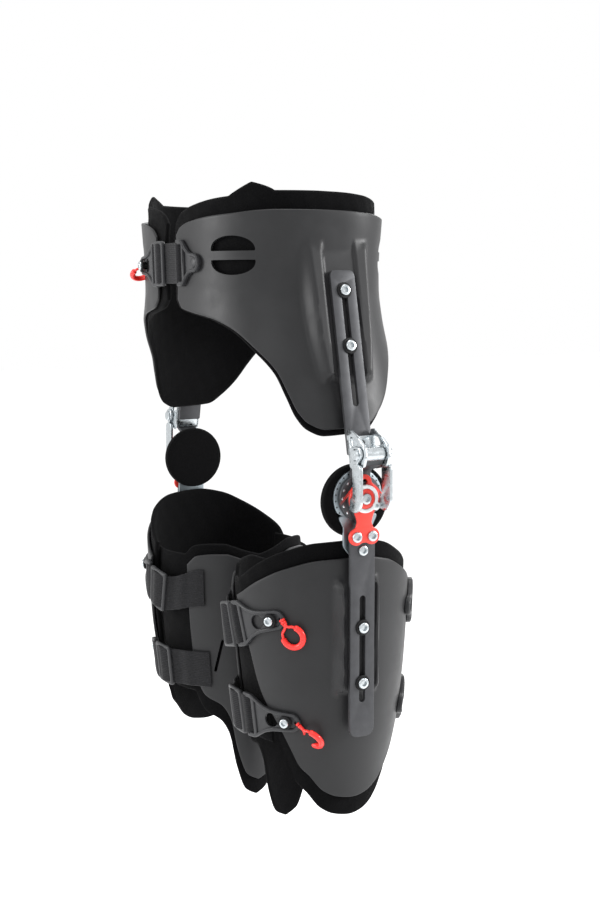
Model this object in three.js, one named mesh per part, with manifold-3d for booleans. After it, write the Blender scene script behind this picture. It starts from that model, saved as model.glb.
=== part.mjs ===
// Hip brace: two pelvic half shells, hip joints on both sides and two thigh cuffs.
// Millimetres, +Z up. The wearer faces -Y and the wearer's left side is +X.
// The origin is the middle of the waist, level with the narrowest part of the shells.
import * as THREE from 'three';
import { mergeVertices } from 'three/addons/utils/BufferGeometryUtils.js';
import Module from 'manifold-3d';

const wasm = await Module();
wasm.setup();

// Driving dimensions of the pelvic shells, outside sizes
const WAIST_HALF_WIDTH = 144;
const WAIST_FRONT_DEPTH = 104;
const WAIST_REAR_DEPTH = 88;
const PELVIS_ROUNDNESS = 2.5;
const PELVIS_TOP = 70;
const PELVIS_DROP = 124;
const PELVIS_FRONT_EDGE_TURN = 84;
const PELVIS_LINER_TOP = 87;
const PELVIS_LINER_DROP = 130;
const PELVIS_LINER_EDGE_TURN = 88;
const SHELL_WALL = 3;
const LINER_WALL = 5;
const MEDIAL_LINER_WALL = 4;
const LAYER_GAP = 1.4;
const TOUCH_GAP = 0.3;
const STRAP_GAP = 0.7;

// Where the bars and the joints stand beside the pelvic form
const BAR_TOP_STANDOFF = 6;
const BAR_BOTTOM_FLARE = 41;
const JOINT_FLARE = 37.5;
const JOINT_INNER_X = WAIST_HALF_WIDTH + JOINT_FLARE;

// Driving dimensions of the thigh cuffs. The thigh's side lies just outside the joint's inner face.
const CUFF_STANDOFF = 2.5;
const HALF_LEG_GAP = 9;
const THIGH_LATERAL = 89;
const THIGH_CENTRE_X = JOINT_INNER_X + CUFF_STANDOFF - THIGH_LATERAL;
const THIGH_CENTRE_Y = 6;
const THIGH_MEDIAL = THIGH_CENTRE_X - HALF_LEG_GAP;
const THIGH_DEPTH = 90;
const CUFF_TOP = -239;
const CUFF_BOTTOM = -468;
const CUFF_LINER_RISE = 15;
const CUFF_LINER_BORDER = 19;
const MEDIAL_TOP = -270;
const MEDIAL_BOTTOM = -516;
const MEDIAL_LINER_RISE = 10;
const MEDIAL_LINER_BORDER = 18;

// Bars, screws and the two joints of a hip
const BAR_WIDTH = 25;
const BAR_THICKNESS = 4;
const SLOT_WIDTH = 6;
const UPPER_BAR_TOP = 16;
const UPPER_BAR_BOTTOM = -146;
const UPPER_BAR_TOP_X = WAIST_HALF_WIDTH + BAR_TOP_STANDOFF;
const UPPER_BAR_BOTTOM_X = WAIST_HALF_WIDTH + BAR_BOTTOM_FLARE;
const BAR_TOP_CORNER = 6;
const BAR_LOW_CORNER = 2;
const UPPER_SLOT_TOP = 4;
const UPPER_SLOT_BOTTOM = -104;
const UPPER_SCREWS = [-2, -51];
const LOWER_BAR_BOTTOM = -402;
const LOWER_BAR_END_CORNER = 10;
const LOWER_BAR_EYE_RADIUS = 15;
const LOWER_SLOT_TOP = -272;
const LOWER_SLOT_BOTTOM = -370;
const LOWER_SCREWS = [-301, -352];
const SCREW_HEAD_RADIUS = 5;
const SCREW_HEAD_HEIGHT = 2.6;
const WASHER_RADIUS = 7.2;
const WASHER_THICKNESS = 1.2;
const SCREW_SHANK_RADIUS = 2.6;

const PIVOT_Z = -184;
const SCALE_THICKNESS = 2.5;
const LINK_THICKNESS = 4;
const RED_PLATE_THICKNESS = 2.5;
const PIVOT_PIN_RADIUS = 3;
const FELT_RADIUS = 33;
const FELT_THICKNESS = 10;
const FELT_BELOW_PIVOT = 4;

const AXLE_STANDOFF = 26;
const AXLE_RISE = 41;
const AXLE_X = JOINT_INNER_X + AXLE_STANDOFF;
const AXLE_Z = PIVOT_Z + AXLE_RISE;
const AXLE_RADIUS = 4;
const AXLE_HEAD_RADIUS = 5.5;
const AXLE_HEAD_HEIGHT = 2.4;
const RUNNING_GAP = 0.4;
const EAR_THICKNESS = 2.8;
const ARM_THICKNESS = 2.8;
const KNUCKLE_RADIUS = 6.5;

// Straps, hooks and pull loops
const STRAP_WIDTH = 38;
const STRAP_THICKNESS = 2;
const HOOK_THICKNESS = 3.2;
const LOOP_RIM = 4.5;
const STUD_NECK_RADIUS = 3;
const STUD_HEAD_RADIUS = 6;
const STUD_HEAD_HEIGHT = 2.6;
const PULL_DROP = 18;
const PULL_RADIUS = 11;
const PULL_WIRE = 2.4;

const UP = new THREE.Vector3(0, 0, 1);
const degrees = (angle) => THREE.MathUtils.degToRad(angle);
const mix = THREE.MathUtils.lerp;
const fade = (value, from, to) => THREE.MathUtils.smoothstep(value, from, to);

// Materials
const finish = (name, color, roughness, metalness) => {
  const material = new THREE.MeshStandardMaterial({ color, roughness, metalness });
  material.name = name;
  return material;
};
const SHELL = finish('shell plastic', 0x4b4b4d, 0.55, 0);
const FLEECE = finish('liner fleece', 0x121214, 0.95, 0);
const ANODISED = finish('anodised bar', 0x37373a, 0.45, 0.7);
const ZINC = finish('zinc plate', 0xcfd4d6, 0.28, 1);
const SCALE = finish('scale plate', 0xa9b4bb, 0.4, 0.6);
const RED = finish('red plate', 0xe2231a, 0.4, 0.1);
const WHITE = finish('dial', 0xf2f4f4, 0.35, 0.1);
const WEBBING = finish('webbing', 0x2b2b2e, 0.9, 0);
const HOOK = finish('hook plastic', 0x35363a, 0.5, 0);

// A smooth line through the rows of a table, read from one named column to another
function lineThrough(rows, from, to) {
  const xs = rows.map((row) => row[from]);
  const ys = rows.map((row) => row[to]);
  const slopes = xs.map((x, i) => {
    if (i === 0 || i === xs.length - 1) return 0;
    const before = (ys[i] - ys[i - 1]) / (xs[i] - xs[i - 1]);
    const after = (ys[i + 1] - ys[i]) / (xs[i + 1] - xs[i]);
    return before * after <= 0 ? 0 : (2 * before * after) / (before + after);
  });
  slopes[0] = (ys[1] - ys[0]) / (xs[1] - xs[0]);
  const last = xs.length - 1;
  slopes[last] = (ys[last] - ys[last - 1]) / (xs[last] - xs[last - 1]);
  return (x) => {
    if (x <= xs[0]) return ys[0];
    if (x >= xs[last]) return ys[last];
    let i = 0;
    while (x > xs[i + 1]) i += 1;
    const span = xs[i + 1] - xs[i];
    const t = (x - xs[i]) / span;
    const h = t * t * (3 - 2 * t);
    const lead = t * (1 - t) * (1 - t) * span;
    const tail = t * t * (t - 1) * span;
    return ys[i] + (ys[i + 1] - ys[i]) * h + slopes[i] * lead + slopes[i + 1] * tail;
  };
}

// Pelvic section by height: heights as shares of the tongue's drop, sizes as shares of the waist's
const PELVIS_SECTIONS = [
  { height: -1.4, width: 1.3, front: 1.2, rear: 1.25 },
  { height: -1.0, width: 1.21, front: 1.13, rear: 1.18 },
  { height: -0.56, width: 1.115, front: 1.06, rear: 1.1 },
  { height: -0.2, width: 1.03, front: 1.01, rear: 1.02 },
  { height: 0, width: 1.0, front: 1.0, rear: 1.0 },
  { height: 0.2, width: 1.007, front: 1.005, rear: 0.99 },
  { height: 0.5, width: 1.04, front: 1.02, rear: 1.0 },
  { height: 0.75, width: 1.06, front: 1.04, rear: 1.01 },
];
const pelvisWidth = lineThrough(PELVIS_SECTIONS, 'height', 'width');
const pelvisFront = lineThrough(PELVIS_SECTIONS, 'height', 'front');
const pelvisRear = lineThrough(PELVIS_SECTIONS, 'height', 'rear');

// Thigh section by height: heights as shares of the way from the cuff's top to its bottom
const THIGH_SECTIONS = [
  { height: -0.1, lateral: 0.97, medial: 1.0, depth: 1.02 },
  { height: 0, lateral: 0.98, medial: 1.0, depth: 1.0 },
  { height: 0.27, lateral: 1.0, medial: 0.98, depth: 0.97 },
  { height: 0.48, lateral: 0.99, medial: 0.96, depth: 0.93 },
  { height: 0.7, lateral: 0.95, medial: 0.93, depth: 0.86 },
  { height: 1.0, lateral: 0.83, medial: 0.89, depth: 0.79 },
  { height: 1.3, lateral: 0.8, medial: 0.86, depth: 0.76 },
];
const thighLateral = lineThrough(THIGH_SECTIONS, 'height', 'lateral');
const thighMedial = lineThrough(THIGH_SECTIONS, 'height', 'medial');
const thighDepth = lineThrough(THIGH_SECTIONS, 'height', 'depth');

// A point of the pelvic form. Turn 0 is the wearer's left, -90 the front and 90 the rear.
function pelvisPoint(turn, z, offset) {
  const share = z / PELVIS_DROP;
  const a = WAIST_HALF_WIDTH * pelvisWidth(share);
  const front = WAIST_FRONT_DEPTH * pelvisFront(share);
  const rear = WAIST_REAR_DEPTH * pelvisRear(share);
  const b = turn < 0 ? front : rear;
  const power = 2 / PELVIS_ROUNDNESS;
  const c = Math.cos(degrees(turn));
  const s = Math.sin(degrees(turn));
  const x = a * Math.sign(c) * Math.abs(c) ** power;
  const y = b * Math.sign(s) * Math.abs(s) ** power;
  const slope = PELVIS_ROUNDNESS - 1;
  const nx = (Math.sign(x) * Math.abs(x / a) ** slope) / a;
  const ny = (Math.sign(y) * Math.abs(y / b) ** slope) / b;
  const length = Math.hypot(nx, ny);
  return new THREE.Vector3(x + (offset * nx) / length, y + (offset * ny) / length, z);
}

// A point of the left thigh's form. Turn 0 is lateral, -90 the front, 90 the rear, 180 medial.
function thighPoint(turn, z, offset) {
  const share = (CUFF_TOP - z) / (CUFF_TOP - CUFF_BOTTOM);
  const c = Math.cos(degrees(turn));
  const s = Math.sin(degrees(turn));
  const a = c >= 0 ? THIGH_LATERAL * thighLateral(share) : THIGH_MEDIAL * thighMedial(share);
  const b = THIGH_DEPTH * thighDepth(share);
  const nx = c / a;
  const ny = s / b;
  const length = Math.hypot(nx, ny);
  const x = THIGH_CENTRE_X + a * c + (offset * nx) / length;
  const y = THIGH_CENTRE_Y + b * s + (offset * ny) / length;
  return new THREE.Vector3(x, y, z);
}

// The upper bar leans outwards with the hip
const BAR_LEAN = Math.atan2(UPPER_BAR_BOTTOM_X - UPPER_BAR_TOP_X, UPPER_BAR_TOP - UPPER_BAR_BOTTOM);
const upperBarX = (z) => UPPER_BAR_TOP_X + (UPPER_BAR_TOP - z) * Math.tan(BAR_LEAN);
const SCALE_X = JOINT_INNER_X;
const LINK_X = SCALE_X + SCALE_THICKNESS + RUNNING_GAP;
const LOWER_BAR_X = LINK_X + LINK_THICKNESS + RUNNING_GAP;
const RED_PLATE_X = LOWER_BAR_X + BAR_THICKNESS + TOUCH_GAP;
const DIAL_X = RED_PLATE_X + RED_PLATE_THICKNESS + TOUCH_GAP;

// The raised land that a bar is screwed to, with a low ridge on each side of the bar
const LAND_HALF_WIDTH = 19;
const LAND_SKIRT = 38;
const RIDGE_HEIGHT = 1.6;
const LAND_FADE = 14;
const LAND_SINK = 0.5;
const LAND_FLAT = 27;
const RIDGE_SLOPE = 4;
function raised(point, barX, top, bottom) {
  const y = Math.abs(point.y);
  const across = 1 - fade(y, LAND_FLAT, LAND_SKIRT);
  const along = fade(point.z, bottom, bottom + LAND_FADE) * (1 - fade(point.z, top - LAND_FADE, top));
  const lift = Math.max(0, barX - TOUCH_GAP - LAND_SINK - point.x) * across * along;
  const ridge = fade(y, LAND_HALF_WIDTH, LAND_HALF_WIDTH + RIDGE_SLOPE) * across * along * RIDGE_HEIGHT;
  point.x += lift + ridge;
  return point;
}
const PELVIS_LAND = { top: 44, bottom: -84 };
const CUFF_LAND = { top: -252, bottom: -408 };

function pelvisShellPoint(turn, z, offset) {
  const point = pelvisPoint(turn, z, offset);
  const wall = -offset;
  point.x += wall;
  raised(point, upperBarX(z), PELVIS_LAND.top, PELVIS_LAND.bottom);
  point.x -= wall;
  return point;
}

function cuffShellPoint(turn, z, offset) {
  const point = thighPoint(turn, z, offset);
  const wall = -offset;
  point.x += wall;
  raised(point, LOWER_BAR_X, CUFF_LAND.top, CUFF_LAND.bottom);
  point.x -= wall;
  return point;
}

// A closed sheet between two faces, each a grid of points given by share of width and height
function sheet(columns, rows, outerPoint, innerPoint) {
  const positions = [];
  const index = [];
  const stride = rows + 1;
  const size = (columns + 1) * stride;
  for (const pointAt of [outerPoint, innerPoint]) {
    for (let i = 0; i <= columns; i += 1) {
      for (let j = 0; j <= rows; j += 1) {
        const point = pointAt(i / columns, j / rows);
        positions.push(point.x, point.y, point.z);
      }
    }
  }
  const quad = (a, b, c, d) => index.push(a, b, c, a, c, d);
  for (let i = 0; i < columns; i += 1) {
    for (let j = 0; j < rows; j += 1) {
      const a = i * stride + j;
      quad(a, a + stride, a + stride + 1, a + 1);
      quad(size + a, size + a + 1, size + a + stride + 1, size + a + stride);
    }
  }
  for (let i = 0; i < columns; i += 1) {
    const low = i * stride;
    const high = low + rows;
    quad(low, size + low, size + low + stride, low + stride);
    quad(high, high + stride, size + high + stride, size + high);
  }
  for (let j = 0; j < rows; j += 1) {
    const first = j;
    const last = columns * stride + j;
    quad(first, first + 1, size + first + 1, size + first);
    quad(last, size + last, size + last + 1, last + 1);
  }
  const geometry = new THREE.BufferGeometry();
  geometry.setAttribute('position', new THREE.Float32BufferAttribute(positions, 3));
  geometry.setIndex(volumeOf(positions, index) < 0 ? index.reverse() : index);
  return geometry;
}

function volumeOf(positions, index) {
  const corner = (i) => new THREE.Vector3().fromArray(positions, 3 * index[i]);
  let volume = 0;
  for (let i = 0; i < index.length; i += 3) volume += corner(i).dot(corner(i + 1).cross(corner(i + 2))) / 6;
  return volume;
}

// Solids for cutting and joining
function solidOf(geometry) {
  const bare = geometry.clone();
  bare.deleteAttribute('normal');
  bare.deleteAttribute('uv');
  const merged = mergeVertices(bare, 1e-4);
  const vertProperties = new Float32Array(merged.attributes.position.array);
  const triVerts = new Uint32Array(merged.index.array);
  return new wasm.Manifold(new wasm.Mesh({ numProp: 3, vertProperties, triVerts }));
}

function geometryOf(solid) {
  const mesh = solid.getMesh();
  const geometry = new THREE.BufferGeometry();
  geometry.setAttribute('position', new THREE.Float32BufferAttribute(mesh.vertProperties, 3));
  geometry.setIndex([...mesh.triVerts]);
  return geometry;
}

const joined = (parts) => parts.map(solidOf).reduce((whole, next) => whole.add(next));
const cut = (body, tools) => tools.map(solidOf).reduce((whole, tool) => whole.subtract(tool), body);

// Flat outlines
function circleShape(x, y, radius) {
  const shape = new THREE.Shape();
  shape.absarc(x, y, radius, 0, Math.PI * 2, false);
  return shape;
}

function slotPath(x, low, high, width) {
  const path = new THREE.Path();
  const r = width / 2;
  path.absarc(x, high - r, r, 0, Math.PI, false);
  path.absarc(x, low + r, r, Math.PI, Math.PI * 2, false);
  path.closePath();
  return path;
}

function roundedShape(left, right, low, high, lowRadius, highRadius) {
  const shape = new THREE.Shape();
  shape.absarc(right - highRadius, high - highRadius, highRadius, 0, Math.PI / 2, false);
  shape.absarc(left + highRadius, high - highRadius, highRadius, Math.PI / 2, Math.PI, false);
  shape.absarc(left + lowRadius, low + lowRadius, lowRadius, Math.PI, Math.PI * 1.5, false);
  shape.absarc(right - lowRadius, low + lowRadius, lowRadius, Math.PI * 1.5, Math.PI * 2, false);
  shape.closePath();
  return shape;
}

function outlineShape(points) {
  return new THREE.Shape(points.map(([x, y]) => new THREE.Vector2(x, y)));
}

const extruded = (shape, depth, segments = 8) =>
  new THREE.ExtrudeGeometry(shape, { depth, bevelEnabled: false, curveSegments: segments, steps: 1 });

// Placing flat outlines: across is the outline's x, along its y, and it is thick along the third
function placed(geometry, origin, across, along) {
  const through = new THREE.Vector3().crossVectors(across, along);
  const frame = new THREE.Matrix4().makeBasis(across, along, through);
  frame.setPosition(origin);
  return geometry.clone().applyMatrix4(frame);
}
const Y_AXIS = new THREE.Vector3(0, 1, 0);
const BAR_UP = new THREE.Vector3(-Math.sin(BAR_LEAN), 0, Math.cos(BAR_LEAN));
const BAR_OUT = new THREE.Vector3(Math.cos(BAR_LEAN), 0, Math.sin(BAR_LEAN));
const BAR_ORIGIN = new THREE.Vector3(UPPER_BAR_TOP_X, 0, UPPER_BAR_TOP);
const onBar = (out, up, y = 0) =>
  BAR_ORIGIN.clone().addScaledVector(BAR_OUT, out).addScaledVector(BAR_UP, up).addScaledVector(Y_AXIS, y);
const barLength = (z) => (z - UPPER_BAR_TOP) / Math.cos(BAR_LEAN);

// A plate facing sideways, drawn in y and z, from x outwards
const sidePlate = (shape, x, thickness, segments = 8) =>
  placed(extruded(shape, thickness, segments), new THREE.Vector3(x, 0, 0), Y_AXIS, UP);

// A plate facing forwards, drawn in x and z, from y backwards to y + thickness
const frontPlate = (shape, y, thickness, segments = 8) => {
  const geometry = extruded(shape, thickness, segments);
  const frame = new THREE.Matrix4().makeBasis(new THREE.Vector3(1, 0, 0), UP, new THREE.Vector3(0, -1, 0));
  frame.setPosition(0, y + thickness, 0);
  return geometry.applyMatrix4(frame);
};

// A turned piece from rows of radius and distance along its axis
function turned(rows, origin, axis, sides = 12) {
  const profile = rows.map(([radius, distance]) => new THREE.Vector2(radius, distance));
  const geometry = new THREE.LatheGeometry(profile, sides);
  const turn = new THREE.Quaternion().setFromUnitVectors(Y_AXIS, axis.clone().normalize());
  geometry.applyQuaternion(turn);
  geometry.translate(origin.x, origin.y, origin.z);
  return geometryOf(solidOf(geometry));
}
const X_AXIS = new THREE.Vector3(1, 0, 0);

// Pelvic shells: the lower edge falls from the front to a tongue under the bar
const PELVIS_EDGE = [
  { turn: -1, top: 0.72, low: -0.08 },
  { turn: -0.965, top: 0.82, low: -0.145 },
  { turn: -0.9, top: 0.88, low: -0.17 },
  { turn: -0.73, top: 0.94, low: -0.22 },
  { turn: -0.6, top: 0.96, low: -0.29 },
  { turn: -0.45, top: 0.99, low: -0.44 },
  { turn: -0.345, top: 1.0, low: -0.58 },
  { turn: -0.285, top: 1.0, low: -0.74 },
  { turn: -0.24, top: 1.0, low: -0.87 },
  { turn: -0.185, top: 1.0, low: -0.955 },
  { turn: -0.1, top: 1.0, low: -1.0 },
  { turn: 0.06, top: 0.99, low: -0.98 },
  { turn: 0.15, top: 0.98, low: -0.9 },
  { turn: 0.24, top: 0.97, low: -0.79 },
  { turn: 0.36, top: 0.95, low: -0.6 },
  { turn: 0.5, top: 0.93, low: -0.42 },
  { turn: 0.7, top: 0.9, low: -0.25 },
  { turn: 0.9, top: 0.86, low: -0.17 },
  { turn: 1, top: 0.74, low: -0.1 },
];
const pelvisTop = lineThrough(PELVIS_EDGE, 'turn', 'top');
const pelvisLow = lineThrough(PELVIS_EDGE, 'turn', 'low');
const COLUMN_CLUSTER = 1.3;
const clustered = (share) => {
  const side = share * 2 - 1;
  return Math.sign(side) * Math.abs(side) ** COLUMN_CLUSTER;
};

function pelvicSheet(pointAt, edgeTurn, topScale, lowScale, outer, inner, columns, rows) {
  const at = (offset) => (across, up) => {
    const share = clustered(across);
    const top = pelvisTop(share) * topScale;
    const low = pelvisLow(share) * lowScale;
    return pointAt(share * edgeTurn, mix(low, top, up), offset);
  };
  return sheet(columns, rows, at(outer), at(inner));
}

// Vents: two half-round openings one above the other, near the front and again near the rear
const VENT_TURN = 50;
const VENT_WIDTH = 48;
const VENT_HEIGHT = 13;
const VENT_BRIDGE = 8;
const VENT_CENTRE_Z = 30;
const VENT_REACH = 24;
function ventShape(direction) {
  const shape = new THREE.Shape();
  const base = (direction * VENT_BRIDGE) / 2;
  const half = VENT_WIDTH / 2;
  shape.moveTo(-half, base);
  shape.lineTo(half, base);
  const crown = base + direction * VENT_HEIGHT;
  shape.quadraticCurveTo(half * 0.75, crown, 0, crown);
  shape.quadraticCurveTo(-half * 0.75, crown, -half, base);
  return shape;
}

function ventTools(turn) {
  const centre = pelvisPoint(turn, VENT_CENTRE_Z, 0);
  const out = pelvisPoint(turn, VENT_CENTRE_Z, 1).sub(centre).normalize();
  const across = new THREE.Vector3().crossVectors(UP, out).normalize();
  const origin = centre.clone().addScaledVector(out, -VENT_REACH / 2);
  const tool = (direction) => extruded(ventShape(direction), VENT_REACH, 3);
  return [1, -1].map((direction) => placed(tool(direction), origin, across, UP));
}

function studGeometry(foot, out, height) {
  const neckTop = height;
  const rows = [
    [0, -SHELL_WALL / 2],
    [STUD_NECK_RADIUS, -SHELL_WALL / 2],
    [STUD_NECK_RADIUS, neckTop],
    [STUD_HEAD_RADIUS, neckTop],
    [STUD_HEAD_RADIUS * 0.8, neckTop + STUD_HEAD_HEIGHT],
    [0, neckTop + STUD_HEAD_HEIGHT],
  ];
  return turned(rows, foot, out, 8);
}

// A stud stands on a shell and its head holds a hook plate down
const STUD_HEIGHT = HOOK_THICKNESS + 4 * TOUCH_GAP;
function studOn(pointAt, turn, z) {
  const foot = pointAt(turn, z, 0);
  const out = pointAt(turn, z, 1).sub(foot).normalize();
  return { foot, out, geometry: studGeometry(foot, out, STUD_HEIGHT) };
}

const PELVIS_STUD_TURN = -70;
const PELVIS_STUD_Z = 23;
function pelvicShell(withStud) {
  const wall = pelvicSheet(
    pelvisShellPoint, PELVIS_FRONT_EDGE_TURN, PELVIS_TOP, PELVIS_DROP, 0, -SHELL_WALL, 20, 7,
  );
  let body = cut(solidOf(wall), [...ventTools(-VENT_TURN), ...ventTools(VENT_TURN)]);
  if (withStud) body = body.add(solidOf(studOn(pelvisPoint, PELVIS_STUD_TURN, PELVIS_STUD_Z).geometry));
  return geometryOf(body);
}

// The liner leans in from the shell above its top edge
const PELVIS_LINER_LEAN = 4;
const pelvisLinerPoint = (turn, z, offset) =>
  pelvisPoint(turn, z, offset - PELVIS_LINER_LEAN * fade(z, PELVIS_TOP / 2, PELVIS_LINER_TOP));
const pelvicLiner = () => {
  const outer = -SHELL_WALL - LAYER_GAP;
  return pelvicSheet(
    pelvisLinerPoint, PELVIS_LINER_EDGE_TURN, PELVIS_LINER_TOP, PELVIS_LINER_DROP,
    outer, outer - LINER_WALL, 14, 5,
  );
};

// Upper bar with its slot, in the leaning frame of the bar
const upperBar = () => {
  const half = BAR_WIDTH / 2;
  const shape = roundedShape(-half, half, barLength(UPPER_BAR_BOTTOM), 0, BAR_LOW_CORNER, BAR_TOP_CORNER);
  const slotLow = barLength(UPPER_SLOT_BOTTOM);
  shape.holes.push(slotPath(0, slotLow, barLength(UPPER_SLOT_TOP), SLOT_WIDTH));
  return placed(extruded(shape, BAR_THICKNESS, 3), BAR_ORIGIN, Y_AXIS, BAR_UP);
};

function barScrew(foot, axis) {
  const seat = BAR_THICKNESS + TOUCH_GAP;
  const head = seat + WASHER_THICKNESS;
  const rows = [
    [0, 0],
    [SCREW_SHANK_RADIUS, 0],
    [SCREW_SHANK_RADIUS, seat],
    [WASHER_RADIUS, seat],
    [WASHER_RADIUS, head],
    [SCREW_HEAD_RADIUS, head],
    [SCREW_HEAD_RADIUS * 0.86, head + SCREW_HEAD_HEIGHT],
    [0, head + SCREW_HEAD_HEIGHT],
  ];
  return turned(rows, foot, axis, 8);
}

// Abduction bracket: a web on the bar's outer face with an ear on each side of the axle
const AXLE_FROM_BAR = new THREE.Vector3(AXLE_X, 0, AXLE_Z).sub(BAR_ORIGIN);
const AXLE_OUT = AXLE_FROM_BAR.dot(BAR_OUT);
const AXLE_UP = AXLE_FROM_BAR.dot(BAR_UP);
const WEB_OUT = BAR_THICKNESS + TOUCH_GAP;
const EAR_SHOULDER = 0.8;
const EAR_OUTSIDE = BAR_WIDTH / 2 + EAR_SHOULDER;
const EAR_INSIDE = EAR_OUTSIDE - EAR_THICKNESS;
const ARM_INSIDE = EAR_OUTSIDE + RUNNING_GAP;
const ARM_OUTSIDE = ARM_INSIDE + ARM_THICKNESS;
const EAR_RISE = 23;
const EAR_FALL = 12;
const EAR_RIM = 9;
const WEB_RISE = 18;
const WEB_FALL = 8;
const WEB_SLOT_LOW = 5;
const WEB_SLOT_HIGH = 14;
const WEB_SLOT_WIDTH = 7;
function bracket() {
  const top = AXLE_UP + EAR_RISE;
  const low = AXLE_UP - EAR_FALL;
  const rim = AXLE_OUT + EAR_RIM;
  const ear = outlineShape([
    [WEB_OUT, low + EAR_FALL * 0.25],
    [WEB_OUT + EAR_FALL * 0.33, low],
    [AXLE_OUT + EAR_RIM * 0.45, low],
    [rim, AXLE_UP - EAR_FALL * 0.33],
    [rim, AXLE_UP + EAR_RISE * 0.26],
    [AXLE_OUT + EAR_RIM * 0.1, AXLE_UP + EAR_RISE * 0.63],
    [WEB_OUT + EAR_RIM * 0.9, top],
    [WEB_OUT + EAR_RIM * 0.33, top + 1],
    [WEB_OUT, AXLE_UP + EAR_RISE * 0.83],
  ]);
  const bore = AXLE_RADIUS + RUNNING_GAP;
  ear.holes.push(slotPath(AXLE_OUT, AXLE_UP - bore, AXLE_UP + bore, 2 * bore));
  const earAt = (y) => placed(extruded(ear, EAR_THICKNESS, 3), onBar(0, 0, y), BAR_OUT, BAR_UP);
  const web = roundedShape(-EAR_OUTSIDE, EAR_OUTSIDE, AXLE_UP - WEB_FALL, AXLE_UP + WEB_RISE, 1, 3);
  web.holes.push(slotPath(0, AXLE_UP + WEB_SLOT_LOW, AXLE_UP + WEB_SLOT_HIGH, WEB_SLOT_WIDTH));
  const webPlate = placed(extruded(web, EAR_THICKNESS, 3), onBar(WEB_OUT, 0), Y_AXIS, BAR_UP);
  return geometryOf(joined([webPlate, earAt(EAR_OUTSIDE), earAt(-EAR_INSIDE)]));
}

// Release lever: two flat arms on the ends of the axle, each ending in an inward hook
const ARM_EYE_RADIUS = 7.5;
const ARM_LENGTH = 51;
const ARM_HOOK_REACH = 11.5;
const ARM_HOOK_START = 36;
function lever() {
  const arm = new THREE.Shape();
  const hookMiddle = (ARM_HOOK_START + ARM_LENGTH) / 2;
  arm.absarc(AXLE_X, AXLE_Z, ARM_EYE_RADIUS, 0, Math.PI, false);
  arm.lineTo(AXLE_X - ARM_EYE_RADIUS * 0.8, AXLE_Z - ARM_HOOK_START);
  arm.lineTo(AXLE_X - ARM_HOOK_REACH, AXLE_Z - hookMiddle + 1.5);
  arm.lineTo(AXLE_X - ARM_HOOK_REACH, AXLE_Z - ARM_LENGTH + 3);
  arm.lineTo(AXLE_X - ARM_HOOK_REACH * 0.45, AXLE_Z - ARM_LENGTH);
  arm.quadraticCurveTo(
    AXLE_X + ARM_EYE_RADIUS, AXLE_Z - ARM_LENGTH + 3, AXLE_X + ARM_EYE_RADIUS, AXLE_Z - ARM_HOOK_START,
  );
  arm.closePath();
  const head = [
    [0, 0],
    [AXLE_RADIUS, 0],
    [AXLE_HEAD_RADIUS, 0.01],
    [AXLE_HEAD_RADIUS, AXLE_HEAD_HEIGHT * 0.7],
    [AXLE_HEAD_RADIUS * 0.7, AXLE_HEAD_HEIGHT],
    [0, AXLE_HEAD_HEIGHT],
  ];
  const reach = ARM_OUTSIDE - 0.2;
  const pin = turned(
    [[0, -reach], [AXLE_RADIUS, -reach], [AXLE_RADIUS, reach], [0, reach]],
    new THREE.Vector3(AXLE_X, 0, AXLE_Z), Y_AXIS, 8,
  );
  const headAt = (side) => {
    const foot = new THREE.Vector3(AXLE_X, side * (ARM_OUTSIDE - 0.1), AXLE_Z);
    return turned(head, foot, new THREE.Vector3(0, side, 0), 8);
  };
  const arms = [ARM_INSIDE, -ARM_OUTSIDE].map((y) => frontPlate(arm, y, ARM_THICKNESS, 4));
  return geometryOf(joined([pin, ...arms, headAt(1), headAt(-1)]));
}

// A drill along X through every plate of the flexion joint
const throughJoint = (y, z, radius, segments) => {
  const depth = DIAL_X - SCALE_X + 2 * BAR_THICKNESS;
  return sidePlate(circleShape(y, z, radius), SCALE_X - BAR_THICKNESS, depth, segments);
};

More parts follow.
